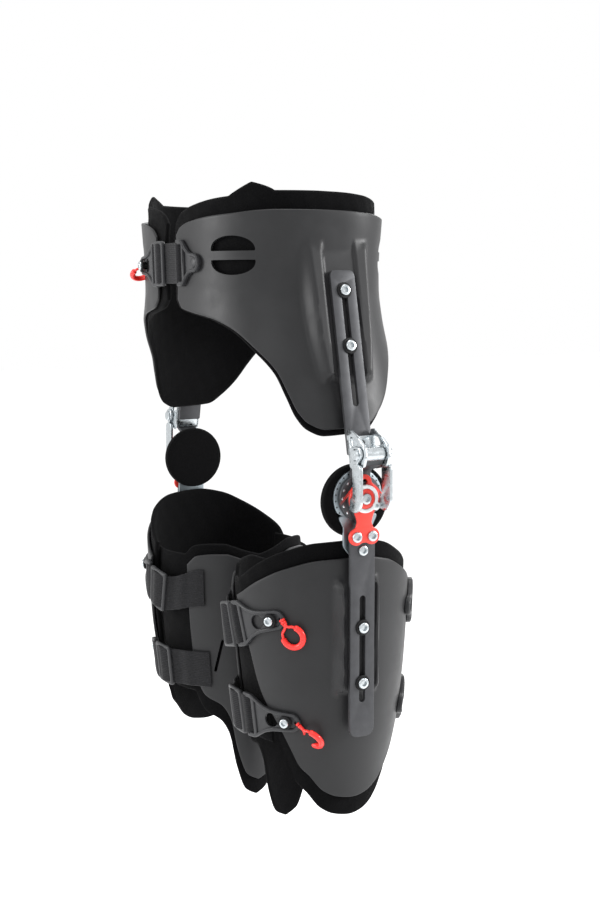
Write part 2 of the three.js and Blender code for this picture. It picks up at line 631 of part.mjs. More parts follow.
// Joint link: a knuckle on the axle, a bent neck and the pierced disc of the flexion joint
const LINK_DISC_RADIUS = 21;
const LINK_NECK_HALF_WIDTH = 10;
const NECK_DROP = 20;
const NECK_ROOT = 4;
const STOP_COUNT = 5;
const STOP_HOLE_RADIUS = 1.4;
const STOP_HOLE_CIRCLE = 18;
const STOP_FIRST_TURN = 135;
const STOP_STEP_TURN = 22;
function link() {
  const outer = LINK_X + LINK_THICKNESS;
  const neckShape = outlineShape([
    [AXLE_X - NECK_ROOT, AXLE_Z - NECK_DROP * 0.15],
    [AXLE_X + NECK_ROOT, AXLE_Z - NECK_DROP * 0.15],
    [AXLE_X + NECK_ROOT * 0.25, AXLE_Z - NECK_DROP * 0.5],
    [outer + NECK_ROOT * 0.75, AXLE_Z - NECK_DROP * 0.825],
    [outer, AXLE_Z - NECK_DROP],
    [outer, AXLE_Z - NECK_DROP * 1.5],
    [LINK_X, AXLE_Z - NECK_DROP * 1.5],
    [LINK_X, AXLE_Z - NECK_DROP * 0.925],
    [LINK_X + NECK_ROOT * 0.5, AXLE_Z - NECK_DROP * 0.725],
    [AXLE_X - NECK_ROOT * 1.25, AXLE_Z - NECK_DROP * 0.425],
  ]);
  const neck = frontPlate(neckShape, -LINK_NECK_HALF_WIDTH, 2 * LINK_NECK_HALF_WIDTH);
  const knuckleHalf = EAR_INSIDE - RUNNING_GAP;
  const knuckle = frontPlate(circleShape(AXLE_X, AXLE_Z, KNUCKLE_RADIUS), -knuckleHalf, 2 * knuckleHalf, 6);
  const disc = sidePlate(circleShape(0, PIVOT_Z, LINK_DISC_RADIUS), LINK_X, LINK_THICKNESS, 9);
  const boreShape = circleShape(AXLE_X, AXLE_Z, AXLE_RADIUS + RUNNING_GAP);
  const bore = frontPlate(boreShape, -BAR_WIDTH, 2 * BAR_WIDTH, 5);
  const pivot = throughJoint(0, PIVOT_Z, PIVOT_PIN_RADIUS + RUNNING_GAP, 4);
  const holes = [];
  for (let i = 0; i < STOP_COUNT; i += 1) {
    const angle = degrees(STOP_FIRST_TURN + i * STOP_STEP_TURN);
    const y = STOP_HOLE_CIRCLE * Math.cos(angle);
    const z = PIVOT_Z + STOP_HOLE_CIRCLE * Math.sin(angle);
    holes.push(throughJoint(y, z, STOP_HOLE_RADIUS, 2));
  }
  return geometryOf(cut(joined([neck, knuckle, disc]), [bore, pivot, ...holes]));
}

// Scale plate behind the joint: round at the top, with a tail behind the lower bar
const SCALE_RADIUS = 25;
const SCALE_TAIL = 52;
const SCALE_TAIL_HALF = 15;
function scalePlate() {
  const tail = PIVOT_Z - SCALE_TAIL;
  const waist = PIVOT_Z - SCALE_RADIUS * 0.96;
  const foot = PIVOT_Z - SCALE_TAIL * 0.7;
  const meet = degrees(32);
  const shape = new THREE.Shape();
  shape.absarc(0, PIVOT_Z, SCALE_RADIUS, -meet, Math.PI + meet, false);
  shape.quadraticCurveTo(-SCALE_TAIL_HALF, waist, -SCALE_TAIL_HALF, foot);
  shape.quadraticCurveTo(-SCALE_TAIL_HALF * 0.93, tail, -SCALE_TAIL_HALF * 0.47, tail);
  shape.lineTo(SCALE_TAIL_HALF * 0.47, tail);
  shape.quadraticCurveTo(SCALE_TAIL_HALF * 0.93, tail, SCALE_TAIL_HALF, foot);
  shape.quadraticCurveTo(
    SCALE_TAIL_HALF, waist, SCALE_RADIUS * Math.cos(meet), PIVOT_Z - SCALE_RADIUS * Math.sin(meet),
  );
  const bore = PIVOT_PIN_RADIUS + RUNNING_GAP;
  shape.holes.push(slotPath(0, PIVOT_Z - bore, PIVOT_Z + bore, 2 * bore));
  return sidePlate(shape, SCALE_X, SCALE_THICKNESS, 5);
}

const FELT_EDGE = 3;
function feltPad() {
  const rows = [
    [0, 0],
    [FELT_RADIUS - FELT_EDGE, 0],
    [FELT_RADIUS, FELT_EDGE],
    [FELT_RADIUS, FELT_THICKNESS - FELT_EDGE * 0.7],
    [FELT_RADIUS - FELT_EDGE * 0.7, FELT_THICKNESS],
    [0, FELT_THICKNESS],
  ];
  const foot = new THREE.Vector3(SCALE_X - TOUCH_GAP - FELT_THICKNESS, 0, PIVOT_Z - FELT_BELOW_PIVOT);
  return turned(rows, foot, X_AXIS, 16);
}

// Red cover plate: an eye at the top, a round middle and two lobes on the lower bar
const COVER_RADIUS = 15.5;
const COVER_EYE_RADIUS = 6.5;
const COVER_EYE_RISE = 15;
const COVER_EYE_HOLE = 3;
const LOBE_RADIUS = 7.5;
const LOBE_Y = 8;
const LOBE_DROP = 34;
const LOBE_Z = PIVOT_Z - LOBE_DROP;
const THIRD_SCREW_DROP = 47;
const COVER_SCREW_RADIUS = 5;
const COVER_SCREW_HEIGHT = 2;
const SCREW_SEAT = 0.4;
function buttonScrew(x, y, z) {
  const rows = [
    [0, -SCREW_SEAT],
    [COVER_SCREW_RADIUS, -SCREW_SEAT],
    [COVER_SCREW_RADIUS * 0.9, COVER_SCREW_HEIGHT],
    [0, COVER_SCREW_HEIGHT],
  ];
  return turned(rows, new THREE.Vector3(x, y, z), X_AXIS, 8);
}

function coverPlate() {
  const plate = (shape) => sidePlate(shape, RED_PLATE_X, RED_PLATE_THICKNESS, 5);
  const eyeZ = PIVOT_Z + COVER_EYE_RISE;
  const wedge = outlineShape([
    [-COVER_RADIUS * 0.98, PIVOT_Z + COVER_RADIUS * 0.26],
    [-LOBE_RADIUS * 0.73, PIVOT_Z - LOBE_DROP * 0.59],
    [LOBE_RADIUS * 0.73, PIVOT_Z - LOBE_DROP * 0.59],
    [COVER_RADIUS * 0.98, PIVOT_Z + COVER_RADIUS * 0.26],
    [COVER_EYE_RADIUS * 0.92, eyeZ + COVER_EYE_RADIUS * 0.3],
    [-COVER_EYE_RADIUS * 0.92, eyeZ + COVER_EYE_RADIUS * 0.3],
  ]);
  const neck = outlineShape([
    [-LOBE_Y, PIVOT_Z - LOBE_DROP * 0.35],
    [-LOBE_Y, LOBE_Z - LOBE_RADIUS * 0.53],
    [LOBE_Y, LOBE_Z - LOBE_RADIUS * 0.53],
    [LOBE_Y, PIVOT_Z - LOBE_DROP * 0.35],
  ]);
  const parts = [
    circleShape(0, PIVOT_Z, COVER_RADIUS),
    circleShape(0, eyeZ, COVER_EYE_RADIUS),
    circleShape(-LOBE_Y, LOBE_Z, LOBE_RADIUS),
    circleShape(LOBE_Y, LOBE_Z, LOBE_RADIUS),
    wedge,
    neck,
  ];
  const holes = [
    throughJoint(0, PIVOT_Z, PIVOT_PIN_RADIUS + RUNNING_GAP, 4),
    throughJoint(0, eyeZ - SCREW_SEAT, COVER_EYE_HOLE, 4),
  ];
  const face = RED_PLATE_X + RED_PLATE_THICKNESS;
  const screws = [-LOBE_Y, LOBE_Y].map((y) => buttonScrew(face, y, LOBE_Z));
  return geometryOf(cut(joined(parts.map(plate)), holes).add(joined(screws)));
}

// Dial: white disc with its pivot pin through the whole joint
const DIAL_RADIUS = 12.5;
const DIAL_HEIGHT = 2.8;
const PIVOT_HEAD_RADIUS = 5.2;
const PIVOT_HEAD_HEIGHT = 2.6;
function dial() {
  const foot = DIAL_X - SCALE_X;
  const face = foot + DIAL_HEIGHT;
  const rows = [
    [0, 0],
    [PIVOT_PIN_RADIUS, 0],
    [PIVOT_PIN_RADIUS, foot],
    [DIAL_RADIUS, foot],
    [DIAL_RADIUS * 0.96, foot + DIAL_HEIGHT * 0.86],
    [PIVOT_HEAD_RADIUS, face],
    [PIVOT_HEAD_RADIUS * 0.88, face + PIVOT_HEAD_HEIGHT],
    [0, face + PIVOT_HEAD_HEIGHT],
  ];
  return turned(rows, new THREE.Vector3(SCALE_X, 0, PIVOT_Z), X_AXIS, 12);
}

function lowerBar() {
  const half = BAR_WIDTH / 2;
  const top = PIVOT_Z + SLOT_WIDTH / 3;
  const shape = roundedShape(-half, half, LOWER_BAR_BOTTOM, top, LOWER_BAR_END_CORNER, BAR_TOP_CORNER);
  shape.holes.push(slotPath(0, LOWER_SLOT_BOTTOM, LOWER_SLOT_TOP, SLOT_WIDTH));
  const bar = sidePlate(shape, LOWER_BAR_X, BAR_THICKNESS, 3);
  const eye = sidePlate(circleShape(0, PIVOT_Z, LOWER_BAR_EYE_RADIUS), LOWER_BAR_X, BAR_THICKNESS, 7);
  const pivot = throughJoint(0, PIVOT_Z, PIVOT_PIN_RADIUS + RUNNING_GAP, 4);
  const screw = buttonScrew(LOWER_BAR_X + BAR_THICKNESS, 0, PIVOT_Z - THIRD_SCREW_DROP);
  return geometryOf(cut(joined([bar, eye]), [pivot]).add(solidOf(screw)));
}

// Lateral cuff: reach to the front and the rear by share of height, from the tongue up to the top
const LATERAL_REACH = [
  { height: 0, front: 45, rear: 42 },
  { height: 0.17, front: 55, rear: 50 },
  { height: 0.4, front: 68, rear: 60 },
  { height: 0.67, front: 75, rear: 66 },
  { height: 1, front: 85, rear: 70 },
];
const lateralFront = lineThrough(LATERAL_REACH, 'height', 'front');
const lateralRear = lineThrough(LATERAL_REACH, 'height', 'rear');
// Upper and lower edges from front to rear: heights as shares of the cuff's length
const LATERAL_EDGE = [
  { across: -1, top: 0.18, low: 0.81 },
  { across: -0.95, top: 0.165, low: 0.85 },
  { across: -0.76, top: 0.1, low: 0.9 },
  { across: -0.55, top: 0.045, low: 0.96 },
  { across: -0.3, top: 0.008, low: 0.99 },
  { across: 0, top: 0.0, low: 1.0 },
  { across: 0.25, top: 0.02, low: 0.99 },
  { across: 0.5, top: 0.07, low: 0.96 },
  { across: 0.75, top: 0.13, low: 0.9 },
  { across: 0.93, top: 0.18, low: 0.84 },
  { across: 1, top: 0.22, low: 0.8 },
];
const lateralTop = lineThrough(LATERAL_EDGE, 'across', 'top');
const lateralLow = lineThrough(LATERAL_EDGE, 'across', 'low');
const CUFF_LENGTH = CUFF_TOP - CUFF_BOTTOM;

function lateralPlace(across, up, rise, border, reach) {
  const side = across * 2 - 1;
  const top = CUFF_TOP - lateralTop(side) * CUFF_LENGTH + rise;
  const low = CUFF_TOP - lateralLow(side) * CUFF_LENGTH - border;
  const widest = side < 0 ? lateralFront(up) + reach : lateralRear(up) + reach;
  return { turn: side * widest, z: mix(low, top, up) };
}

function lateralSheet(pointAt, outer, inner, rise, border, reach, columns, rows) {
  const at = (offset) => (across, up) => {
    const place = lateralPlace(across, up, rise, border, reach);
    return pointAt(place.turn, place.z, offset);
  };
  return sheet(columns, rows, at(outer), at(inner));
}

const UPPER_STRAP_Z = -297;
const LOWER_STRAP_Z = -392;
const UPPER_HOOK_DROP = 9;
const LOWER_HOOK_DROP = 1;
const REAR_STRAP_DROP = 1;
const FRONT_STUDS = [
  { name: 'upper', turn: -56, z: UPPER_STRAP_Z, reach: 46, drop: UPPER_HOOK_DROP, rearTurn: 65 },
  { name: 'lower', turn: -50, z: LOWER_STRAP_Z, reach: 48, drop: LOWER_HOOK_DROP, rearTurn: 67 },
];

// Plate riveted to the cuff's rear edge: wide at the strap's bar and round at the rivet
const ANCHOR_THICKNESS = 3;
const ANCHOR_TIP = 8;
const REAR_ANCHOR_SPAN_TURN = 21;
function rearAnchor(rearTurn, z) {
  const half = STRAP_WIDTH / 2 + LOOP_RIM;
  const at = (offset) => (across, up) => {
    const width = mix(ANCHOR_TIP, half, fade(across, 0.2, 0.75));
    return thighPoint(rearTurn - (1 - across) * REAR_ANCHOR_SPAN_TURN, z + (up * 2 - 1) * width, offset);
  };
  return sheet(6, 1, at(TOUCH_GAP + ANCHOR_THICKNESS), at(-SHELL_WALL / 2));
}

function lateralShell() {
  const wall = lateralSheet(cuffShellPoint, 0, -SHELL_WALL, 0, 0, 0, 12, 8);
  const studs = FRONT_STUDS.map((stud) => studOn(thighPoint, stud.turn, stud.z).geometry);
  const anchors = FRONT_STUDS.map((stud) => rearAnchor(stud.rearTurn, stud.z - REAR_STRAP_DROP));
  return geometryOf(joined([wall, ...studs, ...anchors]));
}

const LATERAL_LINER_OUTER = -SHELL_WALL - LAYER_GAP;
const CUFF_LINER_EDGE_TURN = 3;
const lateralLiner = () => lateralSheet(
  thighPoint, LATERAL_LINER_OUTER, LATERAL_LINER_OUTER - LINER_WALL,
  CUFF_LINER_RISE, CUFF_LINER_BORDER, CUFF_LINER_EDGE_TURN, 11, 6,
);

// Medial cuff: a shell between the legs with a long tongue, on a liner that wraps the thigh
const MEDIAL_LINER_OUTER = LATERAL_LINER_OUTER - LINER_WALL - LAYER_GAP;
const MEDIAL_SHELL_OUTER = MEDIAL_LINER_OUTER + LAYER_GAP + SHELL_WALL;
const MEDIAL_SHELL_REACH = 58;
const MEDIAL_LINER_REACH = 112;
const MEDIAL_LENGTH = MEDIAL_TOP - MEDIAL_BOTTOM;
const MEDIAL_EDGE = [
  { across: 0, top: 0.05, low: 1.0 },
  { across: 0.2, top: 0.03, low: 0.97 },
  { across: 0.36, top: 0.01, low: 0.86 },
  { across: 0.47, top: 0.0, low: 0.72 },
  { across: 0.6, top: 0.0, low: 0.66 },
  { across: 0.85, top: 0.01, low: 0.62 },
  { across: 1, top: 0.05, low: 0.54 },
];
const medialTop = lineThrough(MEDIAL_EDGE, 'across', 'top');
const medialLow = lineThrough(MEDIAL_EDGE, 'across', 'low');

function medialShell() {
  const at = (offset) => (across, up) => {
    const side = across * 2 - 1;
    const top = MEDIAL_TOP - medialTop(Math.abs(side)) * MEDIAL_LENGTH;
    const low = MEDIAL_TOP - medialLow(Math.abs(side)) * MEDIAL_LENGTH;
    return thighPoint(180 + side * MEDIAL_SHELL_REACH, mix(low, top, up), offset);
  };
  return sheet(12, 6, at(MEDIAL_SHELL_OUTER), at(MEDIAL_SHELL_OUTER - SHELL_WALL));
}

const MEDIAL_LINER_EDGE_TURN = 4;
function medialLiner() {
  const at = (offset) => (across, up) => {
    const turn = clustered(across) * MEDIAL_LINER_REACH;
    const share = Math.min(1, Math.abs(turn) / (MEDIAL_SHELL_REACH + MEDIAL_LINER_EDGE_TURN));
    const top = MEDIAL_TOP - medialTop(share) * MEDIAL_LENGTH + MEDIAL_LINER_RISE;
    const low = MEDIAL_TOP - medialLow(share) * MEDIAL_LENGTH - MEDIAL_LINER_BORDER;
    return thighPoint(180 + turn, mix(low, top, up), offset);
  };
  return sheet(16, 4, at(MEDIAL_LINER_OUTER), at(MEDIAL_LINER_OUTER - MEDIAL_LINER_WALL));
}

// Hook plate with its strap slot: wide at the slot, pointed at the stud, bent round the form.
// The slot end lies at turn + reach towards the strap.
const HOOK_TIP = 7;
const HOOK_TIP_TURN = 8;
const HOOK_SLOT_WIDTH = 6;
const DRILL_DEPTH = 10;
function hookPlate(pointAt, stud, direction, studZ, slotInset) {
  const lift = TOUCH_GAP;
  const outer = lift + HOOK_THICKNESS;
  const slotTurn = stud.turn + direction * stud.reach;
  const tipTurn = stud.turn - direction * HOOK_TIP_TURN;
  const half = STRAP_WIDTH / 2 + LOOP_RIM;
  const at = (offset) => (across, up) => {
    const share = direction < 0 ? across : 1 - across;
    const turn = mix(slotTurn, tipTurn, share);
    const width = share < 0.3 ? half : mix(half, HOOK_TIP, fade(share, 0.3, 1) ** 0.7);
    return pointAt(turn, studZ + (up * 2 - 1) * width, offset);
  };
  const plate = sheet(7, 2, at(outer), at(lift));
  const pin = pointAt(stud.turn, stud.z, 0);
  const out = pointAt(stud.turn, stud.z, 1).sub(pin).normalize();
  const holeRadius = STUD_NECK_RADIUS + RUNNING_GAP;
  const drill = [
    [0, -DRILL_DEPTH],
    [holeRadius, -DRILL_DEPTH],
    [holeRadius, DRILL_DEPTH],
    [0, DRILL_DEPTH],
  ];
  const hole = turned(drill, pin, out, 8);
  const slotAt = slotTurn - direction * slotInset;
  const slotPin = pointAt(slotAt, studZ, 0);
  const slotOut = pointAt(slotAt, studZ, 1).sub(slotPin).normalize();
  const slotAcross = new THREE.Vector3().crossVectors(UP, slotOut).normalize();
  const slotHeight = STRAP_WIDTH / 2 + TOUCH_GAP;
  const slotHalf = HOOK_SLOT_WIDTH / 2;
  const slot = outlineShape([
    [-slotHalf, -slotHeight],
    [slotHalf, -slotHeight],
    [slotHalf, slotHeight],
    [-slotHalf, slotHeight],
  ]);
  const slotFoot = slotPin.clone().addScaledVector(slotOut, -DRILL_DEPTH);
  const opening = placed(extruded(slot, 3 * DRILL_DEPTH, 2), slotFoot, slotAcross, UP);
  return geometryOf(cut(solidOf(plate), [hole, opening]));
}

// A strap that lies on the form between two turns, and steps from one offset to another from share
// leave to share land of its way
function strapBetween(pointAt, fromTurn, toTurn, z, fromOffset, toOffset, leave, land, columns) {
  const half = STRAP_WIDTH / 2;
  const at = (rise) => (across, up) => {
    const offset = mix(fromOffset, toOffset, fade(across, leave, land)) + rise;
    return pointAt(mix(fromTurn, toTurn, across), z + (up * 2 - 1) * half, offset);
  };
  return sheet(columns, 1, at(STRAP_THICKNESS), at(0));
}

// Red pull loop on a hook: a ring of soft cord lying against the shell
function pullLoop(pointAt, turn, z, lift) {
  const centre = pointAt(turn, z, 0);
  const out = pointAt(turn, z, 1).sub(centre).normalize();
  const ring = new THREE.TorusGeometry(PULL_RADIUS, PULL_WIRE, 5, 10);
  const turnTo = new THREE.Quaternion().setFromUnitVectors(UP, out);
  ring.applyQuaternion(turnTo);
  centre.addScaledVector(out, PULL_WIRE + HOOK_THICKNESS + lift);
  ring.translate(centre.x, centre.y, centre.z);
  return geometryOf(solidOf(ring));
}

// Turns at which the straps start behind their hook or anchor, and end under the medial shell
const STRAP_LAP_TURN = 5;
const STRAP_CLEAR_TURN = 0.4;
const STRAP_END_TURN = 136;
const PULL_TURN = 14;

// The left side of the brace; the right side is its mirror image
function sidePieces() {
  const pieces = [];
  const add = (name, geometry, material) => pieces.push({ name, geometry, material });
  add('pelvic_shell', pelvicShell(false), SHELL);
  add('pelvic_liner', pelvicLiner(), FLEECE);
  add('upper_bar', upperBar(), ANODISED);
  UPPER_SCREWS.forEach((z, i) => {
    add(`upper_bar_screw_${i + 1}`, barScrew(onBar(0, barLength(z)), BAR_OUT), ZINC);
  });
  add('abduction_bracket', bracket(), ZINC);
  add('release_lever', lever(), ZINC);
  add('joint_link', link(), ANODISED);
  add('scale_plate', scalePlate(), SCALE);
  add('felt_pad', feltPad(), FLEECE);
  add('cover_plate', coverPlate(), RED);
  add('dial', dial(), WHITE);
  add('lower_bar', lowerBar(), ANODISED);
  LOWER_SCREWS.forEach((z, i) => {
    add(`lower_bar_screw_${i + 1}`, barScrew(new THREE.Vector3(LOWER_BAR_X, 0, z), X_AXIS), ZINC);
  });
  add('lateral_cuff_shell', lateralShell(), SHELL);
  add('lateral_cuff_liner', lateralLiner(), FLEECE);
  add('medial_cuff_shell', medialShell(), SHELL);
  add('medial_cuff_liner', medialLiner(), FLEECE);
  for (const stud of FRONT_STUDS) {
    const slotTurn = stud.turn - stud.reach;
    const hook = hookPlate(thighPoint, stud, -1, stud.z - stud.drop, CUFF_HOOK_INSET_TURN);
    add(`front_hook_${stud.name}`, hook, HOOK);
    const strapOffset = MEDIAL_SHELL_OUTER + STRAP_GAP;
    add(
      `front_strap_${stud.name}`,
      strapBetween(
        thighPoint, slotTurn + STRAP_LAP_TURN, -STRAP_END_TURN, stud.z - stud.drop,
        -STRAP_THICKNESS - TOUCH_GAP, strapOffset, 0.1, 0.6, 5,
      ),
      WEBBING,
    );
    const pull = pullLoop(thighPoint, stud.turn + PULL_TURN, stud.z - PULL_DROP, TOUCH_GAP);
    add(`pull_loop_${stud.name}`, pull, RED);
    const rearZ = stud.z - REAR_STRAP_DROP;
    const rearStart = stud.rearTurn + STRAP_CLEAR_TURN;
    add(
      `rear_strap_${stud.name}`,
      strapBetween(thighPoint, rearStart, STRAP_END_TURN, rearZ, LAYER_GAP, strapOffset, 0.1, 0.5, 9),
      WEBBING,
    );
  }
  return pieces;
}

function mirrored(geometry) {
  const copy = geometry.clone();
  copy.scale(-1, 1, 1);
  const index = copy.index ? [...copy.index.array] : [...Array(copy.attributes.position.count).keys()];
  for (let i = 0; i < index.length; i += 3) [index[i + 1], index[i + 2]] = [index[i + 2], index[i + 1]];
  copy.setIndex(index);
  return copy;
}

function meshOf(name, geometry, material) {
  const shaded = geometry.clone();
  shaded.computeVertexNormals();
  const mesh = new THREE.Mesh(shaded, material);
  mesh.name = name;
  return mesh;
}

// Front closure of the pelvic shells: a plate on the left shell, webbing, and a hook on the right
const CLOSURE_Z = 24;
const ANCHOR_TURN = 85.6;
const ANCHOR_TIP_TURN = 72;
const CLOSURE_STRAP_TURNS = [-91.8, -85];
const BACK_STRAP_TURN = 85.2;
const WAIST_HOOK_REACH_TURN = 19.5;
const WAIST_HOOK_INSET_TURN = 3;
const CUFF_HOOK_INSET_TURN = 6;
const WAIST_PULL_TURN = 10;
const WAIST_PULL_DROP = 6;
function closureAnchor(rear) {
  const half = STRAP_WIDTH / 2 + LOOP_RIM;
  const side = rear ? 1 : -1;
  const at = (offset) => (across, up) => {
    const width = mix(half, HOOK_TIP, fade(across, 0.35, 1));
    const turn = side * mix(ANCHOR_TURN, ANCHOR_TIP_TURN, across);
    return pelvisPoint(turn, CLOSURE_Z + (up * 2 - 1) * width, offset);
  };
  return sheet(5, 2, at(TOUCH_GAP + ANCHOR_THICKNESS), at(TOUCH_GAP));
}

function closureStrap(fromTurn, toTurn, columns) {
  const at = (offset) => (across, up) => {
    const z = CLOSURE_Z + (up * 2 - 1) * (STRAP_WIDTH / 2);
    return pelvisPoint(mix(fromTurn, toTurn, across), z, offset);
  };
  return sheet(columns, 1, at(-TOUCH_GAP), at(-TOUCH_GAP - STRAP_THICKNESS));
}

function frontClosure() {
  const stud = { turn: PELVIS_STUD_TURN, z: PELVIS_STUD_Z, reach: WAIST_HOOK_REACH_TURN };
  const hook = mirrored(hookPlate(pelvisPoint, stud, -1, CLOSURE_Z, WAIST_HOOK_INSET_TURN));
  const pullTurn = PELVIS_STUD_TURN + WAIST_PULL_TURN;
  const pull = mirrored(pullLoop(pelvisPoint, pullTurn, PELVIS_STUD_Z - WAIST_PULL_DROP, 3 * TOUCH_GAP));
  return [
    meshOf('front_closure_hook', hook, HOOK),
    meshOf('front_closure_anchor', closureAnchor(false), HOOK),
    meshOf('front_closure_strap', closureStrap(...CLOSURE_STRAP_TURNS, 3), WEBBING),
    meshOf('front_closure_pull', pull, RED),
  ];
}

// Back closure, plain: the same webbing between two anchor plates, as one riveted piece
function backClosure() {
  const left = closureAnchor(true);
  const inner = -TOUCH_GAP - STRAP_THICKNESS;
  const bandAt = (offset) => (across, up) => {
    const z = CLOSURE_Z + (up * 2 - 1) * (STRAP_WIDTH / 2);
    return pelvisPoint(mix(BACK_STRAP_TURN, 180 - BACK_STRAP_TURN, across), z, offset);
  };
  const band = sheet(4, 1, bandAt(TOUCH_GAP + 1), bandAt(inner));
  return meshOf('back_closure', geometryOf(joined([left, mirrored(left), band])), WEBBING);
}

const brace = new THREE.Group();
brace.name = 'hip_brace';
for (const piece of sidePieces()) {
  brace.add(meshOf(`${piece.name}_left`, piece.geometry, piece.material));
  const right = piece.name === 'pelvic_shell' ? pelvicShell(true) : piece.geometry;
  brace.add(meshOf(`${piece.name}_right`, mirrored(right), piece.material));
}
for (const mesh of frontClosure()) brace.add(mesh);
brace.add(backClosure());

export default brace;
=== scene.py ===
import math

import bmesh
import bpy
import numpy as np
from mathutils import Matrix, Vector


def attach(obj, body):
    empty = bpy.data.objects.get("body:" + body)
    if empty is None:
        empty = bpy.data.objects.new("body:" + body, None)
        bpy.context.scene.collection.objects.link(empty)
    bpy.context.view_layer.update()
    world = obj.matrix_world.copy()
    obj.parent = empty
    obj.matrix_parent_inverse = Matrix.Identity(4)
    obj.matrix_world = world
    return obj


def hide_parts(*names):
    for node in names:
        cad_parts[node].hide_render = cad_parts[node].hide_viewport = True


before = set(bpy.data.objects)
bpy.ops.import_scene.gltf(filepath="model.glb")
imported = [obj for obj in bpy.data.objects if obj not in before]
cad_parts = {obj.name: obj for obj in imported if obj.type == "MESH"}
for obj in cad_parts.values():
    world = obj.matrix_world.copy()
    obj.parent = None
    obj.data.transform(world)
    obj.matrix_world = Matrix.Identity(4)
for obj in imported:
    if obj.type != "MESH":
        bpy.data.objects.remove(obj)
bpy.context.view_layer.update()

MM = 0.001

# Sizes of the forms, as in the part
WAIST_HALF_WIDTH = 144
WAIST_FRONT_DEPTH = 104
WAIST_REAR_DEPTH = 88
PELVIS_ROUNDNESS = 2.5
PELVIS_TOP = 70
PELVIS_DROP = 124
PELVIS_LINER_TOP = 87
PELVIS_LINER_DROP = 130
THIGH_CENTRE = (95, 6)
THIGH_LATERAL = 89
THIGH_MEDIAL = 86
THIGH_DEPTH = 90
CUFF_TOP = -239
CUFF_BOTTOM = -468
MEDIAL_TOP = -270
MEDIAL_BOTTOM = -516
SHELL_WALL = 3
LINER_WALL = 5
MEDIAL_LINER_WALL = 4
LAYER_GAP = 1.4
STRAP_WIDTH = 38
BAR_WIDTH = 25
BAR_THICKNESS = 4
SLOT_WIDTH = 6
PIVOT_Z = -184
AXLE_Z = -143
AXLE_X = 207.5


# Tables and smooth lines through them
def table(columns, *rows):
    return [dict(zip(columns.split(), row)) for row in rows]


def line_through(rows, start, end):
    """A smooth line through the rows, read from one named column to another."""
    xs = np.array([row[start] for row in rows], float)
    ys = np.array([row[end] for row in rows], float)
    steps = np.diff(ys) / np.diff(xs)
    product = steps[:-1] * steps[1:]
    total = steps[:-1] + steps[1:]
    slopes = np.zeros(len(xs))
    slopes[1:-1] = np.where(product > 0, 2 * product / np.where(total == 0, 1, total), 0)
    slopes[0], slopes[-1] = steps[0], steps[-1]

    def at(x):
        x = np.clip(x, xs[0], xs[-1])
        i = np.clip(np.searchsorted(xs, x, side="right") - 1, 0, len(xs) - 2)
        span = xs[i + 1] - xs[i]
        t = (x - xs[i]) / span
        rise = (ys[i + 1] - ys[i]) * t * t * (3 - 2 * t)
        lead = slopes[i] * t * (1 - t) ** 2 * span
        return ys[i] + rise + lead + slopes[i + 1] * t * t * (t - 1) * span

    return at


def fade(value, start, end):
    t = np.clip((value - start) / (end - start), 0, 1)
    return t * t * (3 - 2 * t)


# Pelvic section by height: heights as shares of the tongue's drop, sizes as shares of the waist's
PELVIS_SECTIONS = table(
    "height width front rear",
    (-1.4, 1.3, 1.2, 1.25),
    (-1.0, 1.21, 1.13, 1.18),
    (-0.56, 1.115, 1.06, 1.1),
    (-0.2, 1.03, 1.01, 1.02),
    (0, 1.0, 1.0, 1.0),
    (0.2, 1.007, 1.005, 0.99),
    (0.5, 1.04, 1.02, 1.0),
    (0.75, 1.06, 1.04, 1.01),
)
pelvis_width = line_through(PELVIS_SECTIONS, "height", "width")
pelvis_front = line_through(PELVIS_SECTIONS, "height", "front")
pelvis_rear = line_through(PELVIS_SECTIONS, "height", "rear")

# Thigh section by height: heights as shares of the way from the cuff's top to its bottom
THIGH_SECTIONS = table(
    "height lateral medial depth",
    (-0.1, 0.97, 1.0, 1.02),
    (0, 0.98, 1.0, 1.0),
    (0.27, 1.0, 0.98, 0.97),
    (0.48, 0.99, 0.96, 0.93),
    (0.7, 0.95, 0.93, 0.86),
    (1.0, 0.83, 0.89, 0.79),
    (1.3, 0.8, 0.86, 0.76),
)
thigh_lateral = line_through(THIGH_SECTIONS, "height", "lateral")
thigh_medial = line_through(THIGH_SECTIONS, "height", "medial")
thigh_depth = line_through(THIGH_SECTIONS, "height", "depth")


def pelvis_point(turn, z, offset):
    """Points of the pelvic form: turn 0 is the wearer's left, -90 the front and 90 the rear."""
    turn, z, offset = np.broadcast_arrays(*np.atleast_1d(turn, z, offset))
    share = z / PELVIS_DROP
    a = WAIST_HALF_WIDTH * pelvis_width(share)
    front = WAIST_FRONT_DEPTH * pelvis_front(share)
    b = np.where(turn < 0, front, WAIST_REAR_DEPTH * pelvis_rear(share))
    c, s = np.cos(np.radians(turn)), np.sin(np.radians(turn))
    power = 2 / PELVIS_ROUNDNESS
    x = a * np.sign(c) * np.abs(c) ** power
    y = b * np.sign(s) * np.abs(s) ** power
    nx = np.sign(x) * np.abs(x / a) ** (PELVIS_ROUNDNESS - 1) / a
    ny = np.sign(y) * np.abs(y / b) ** (PELVIS_ROUNDNESS - 1) / b
    length = np.hypot(nx, ny)
    return np.stack([x + offset * nx / length, y + offset * ny / length, z], axis=-1)


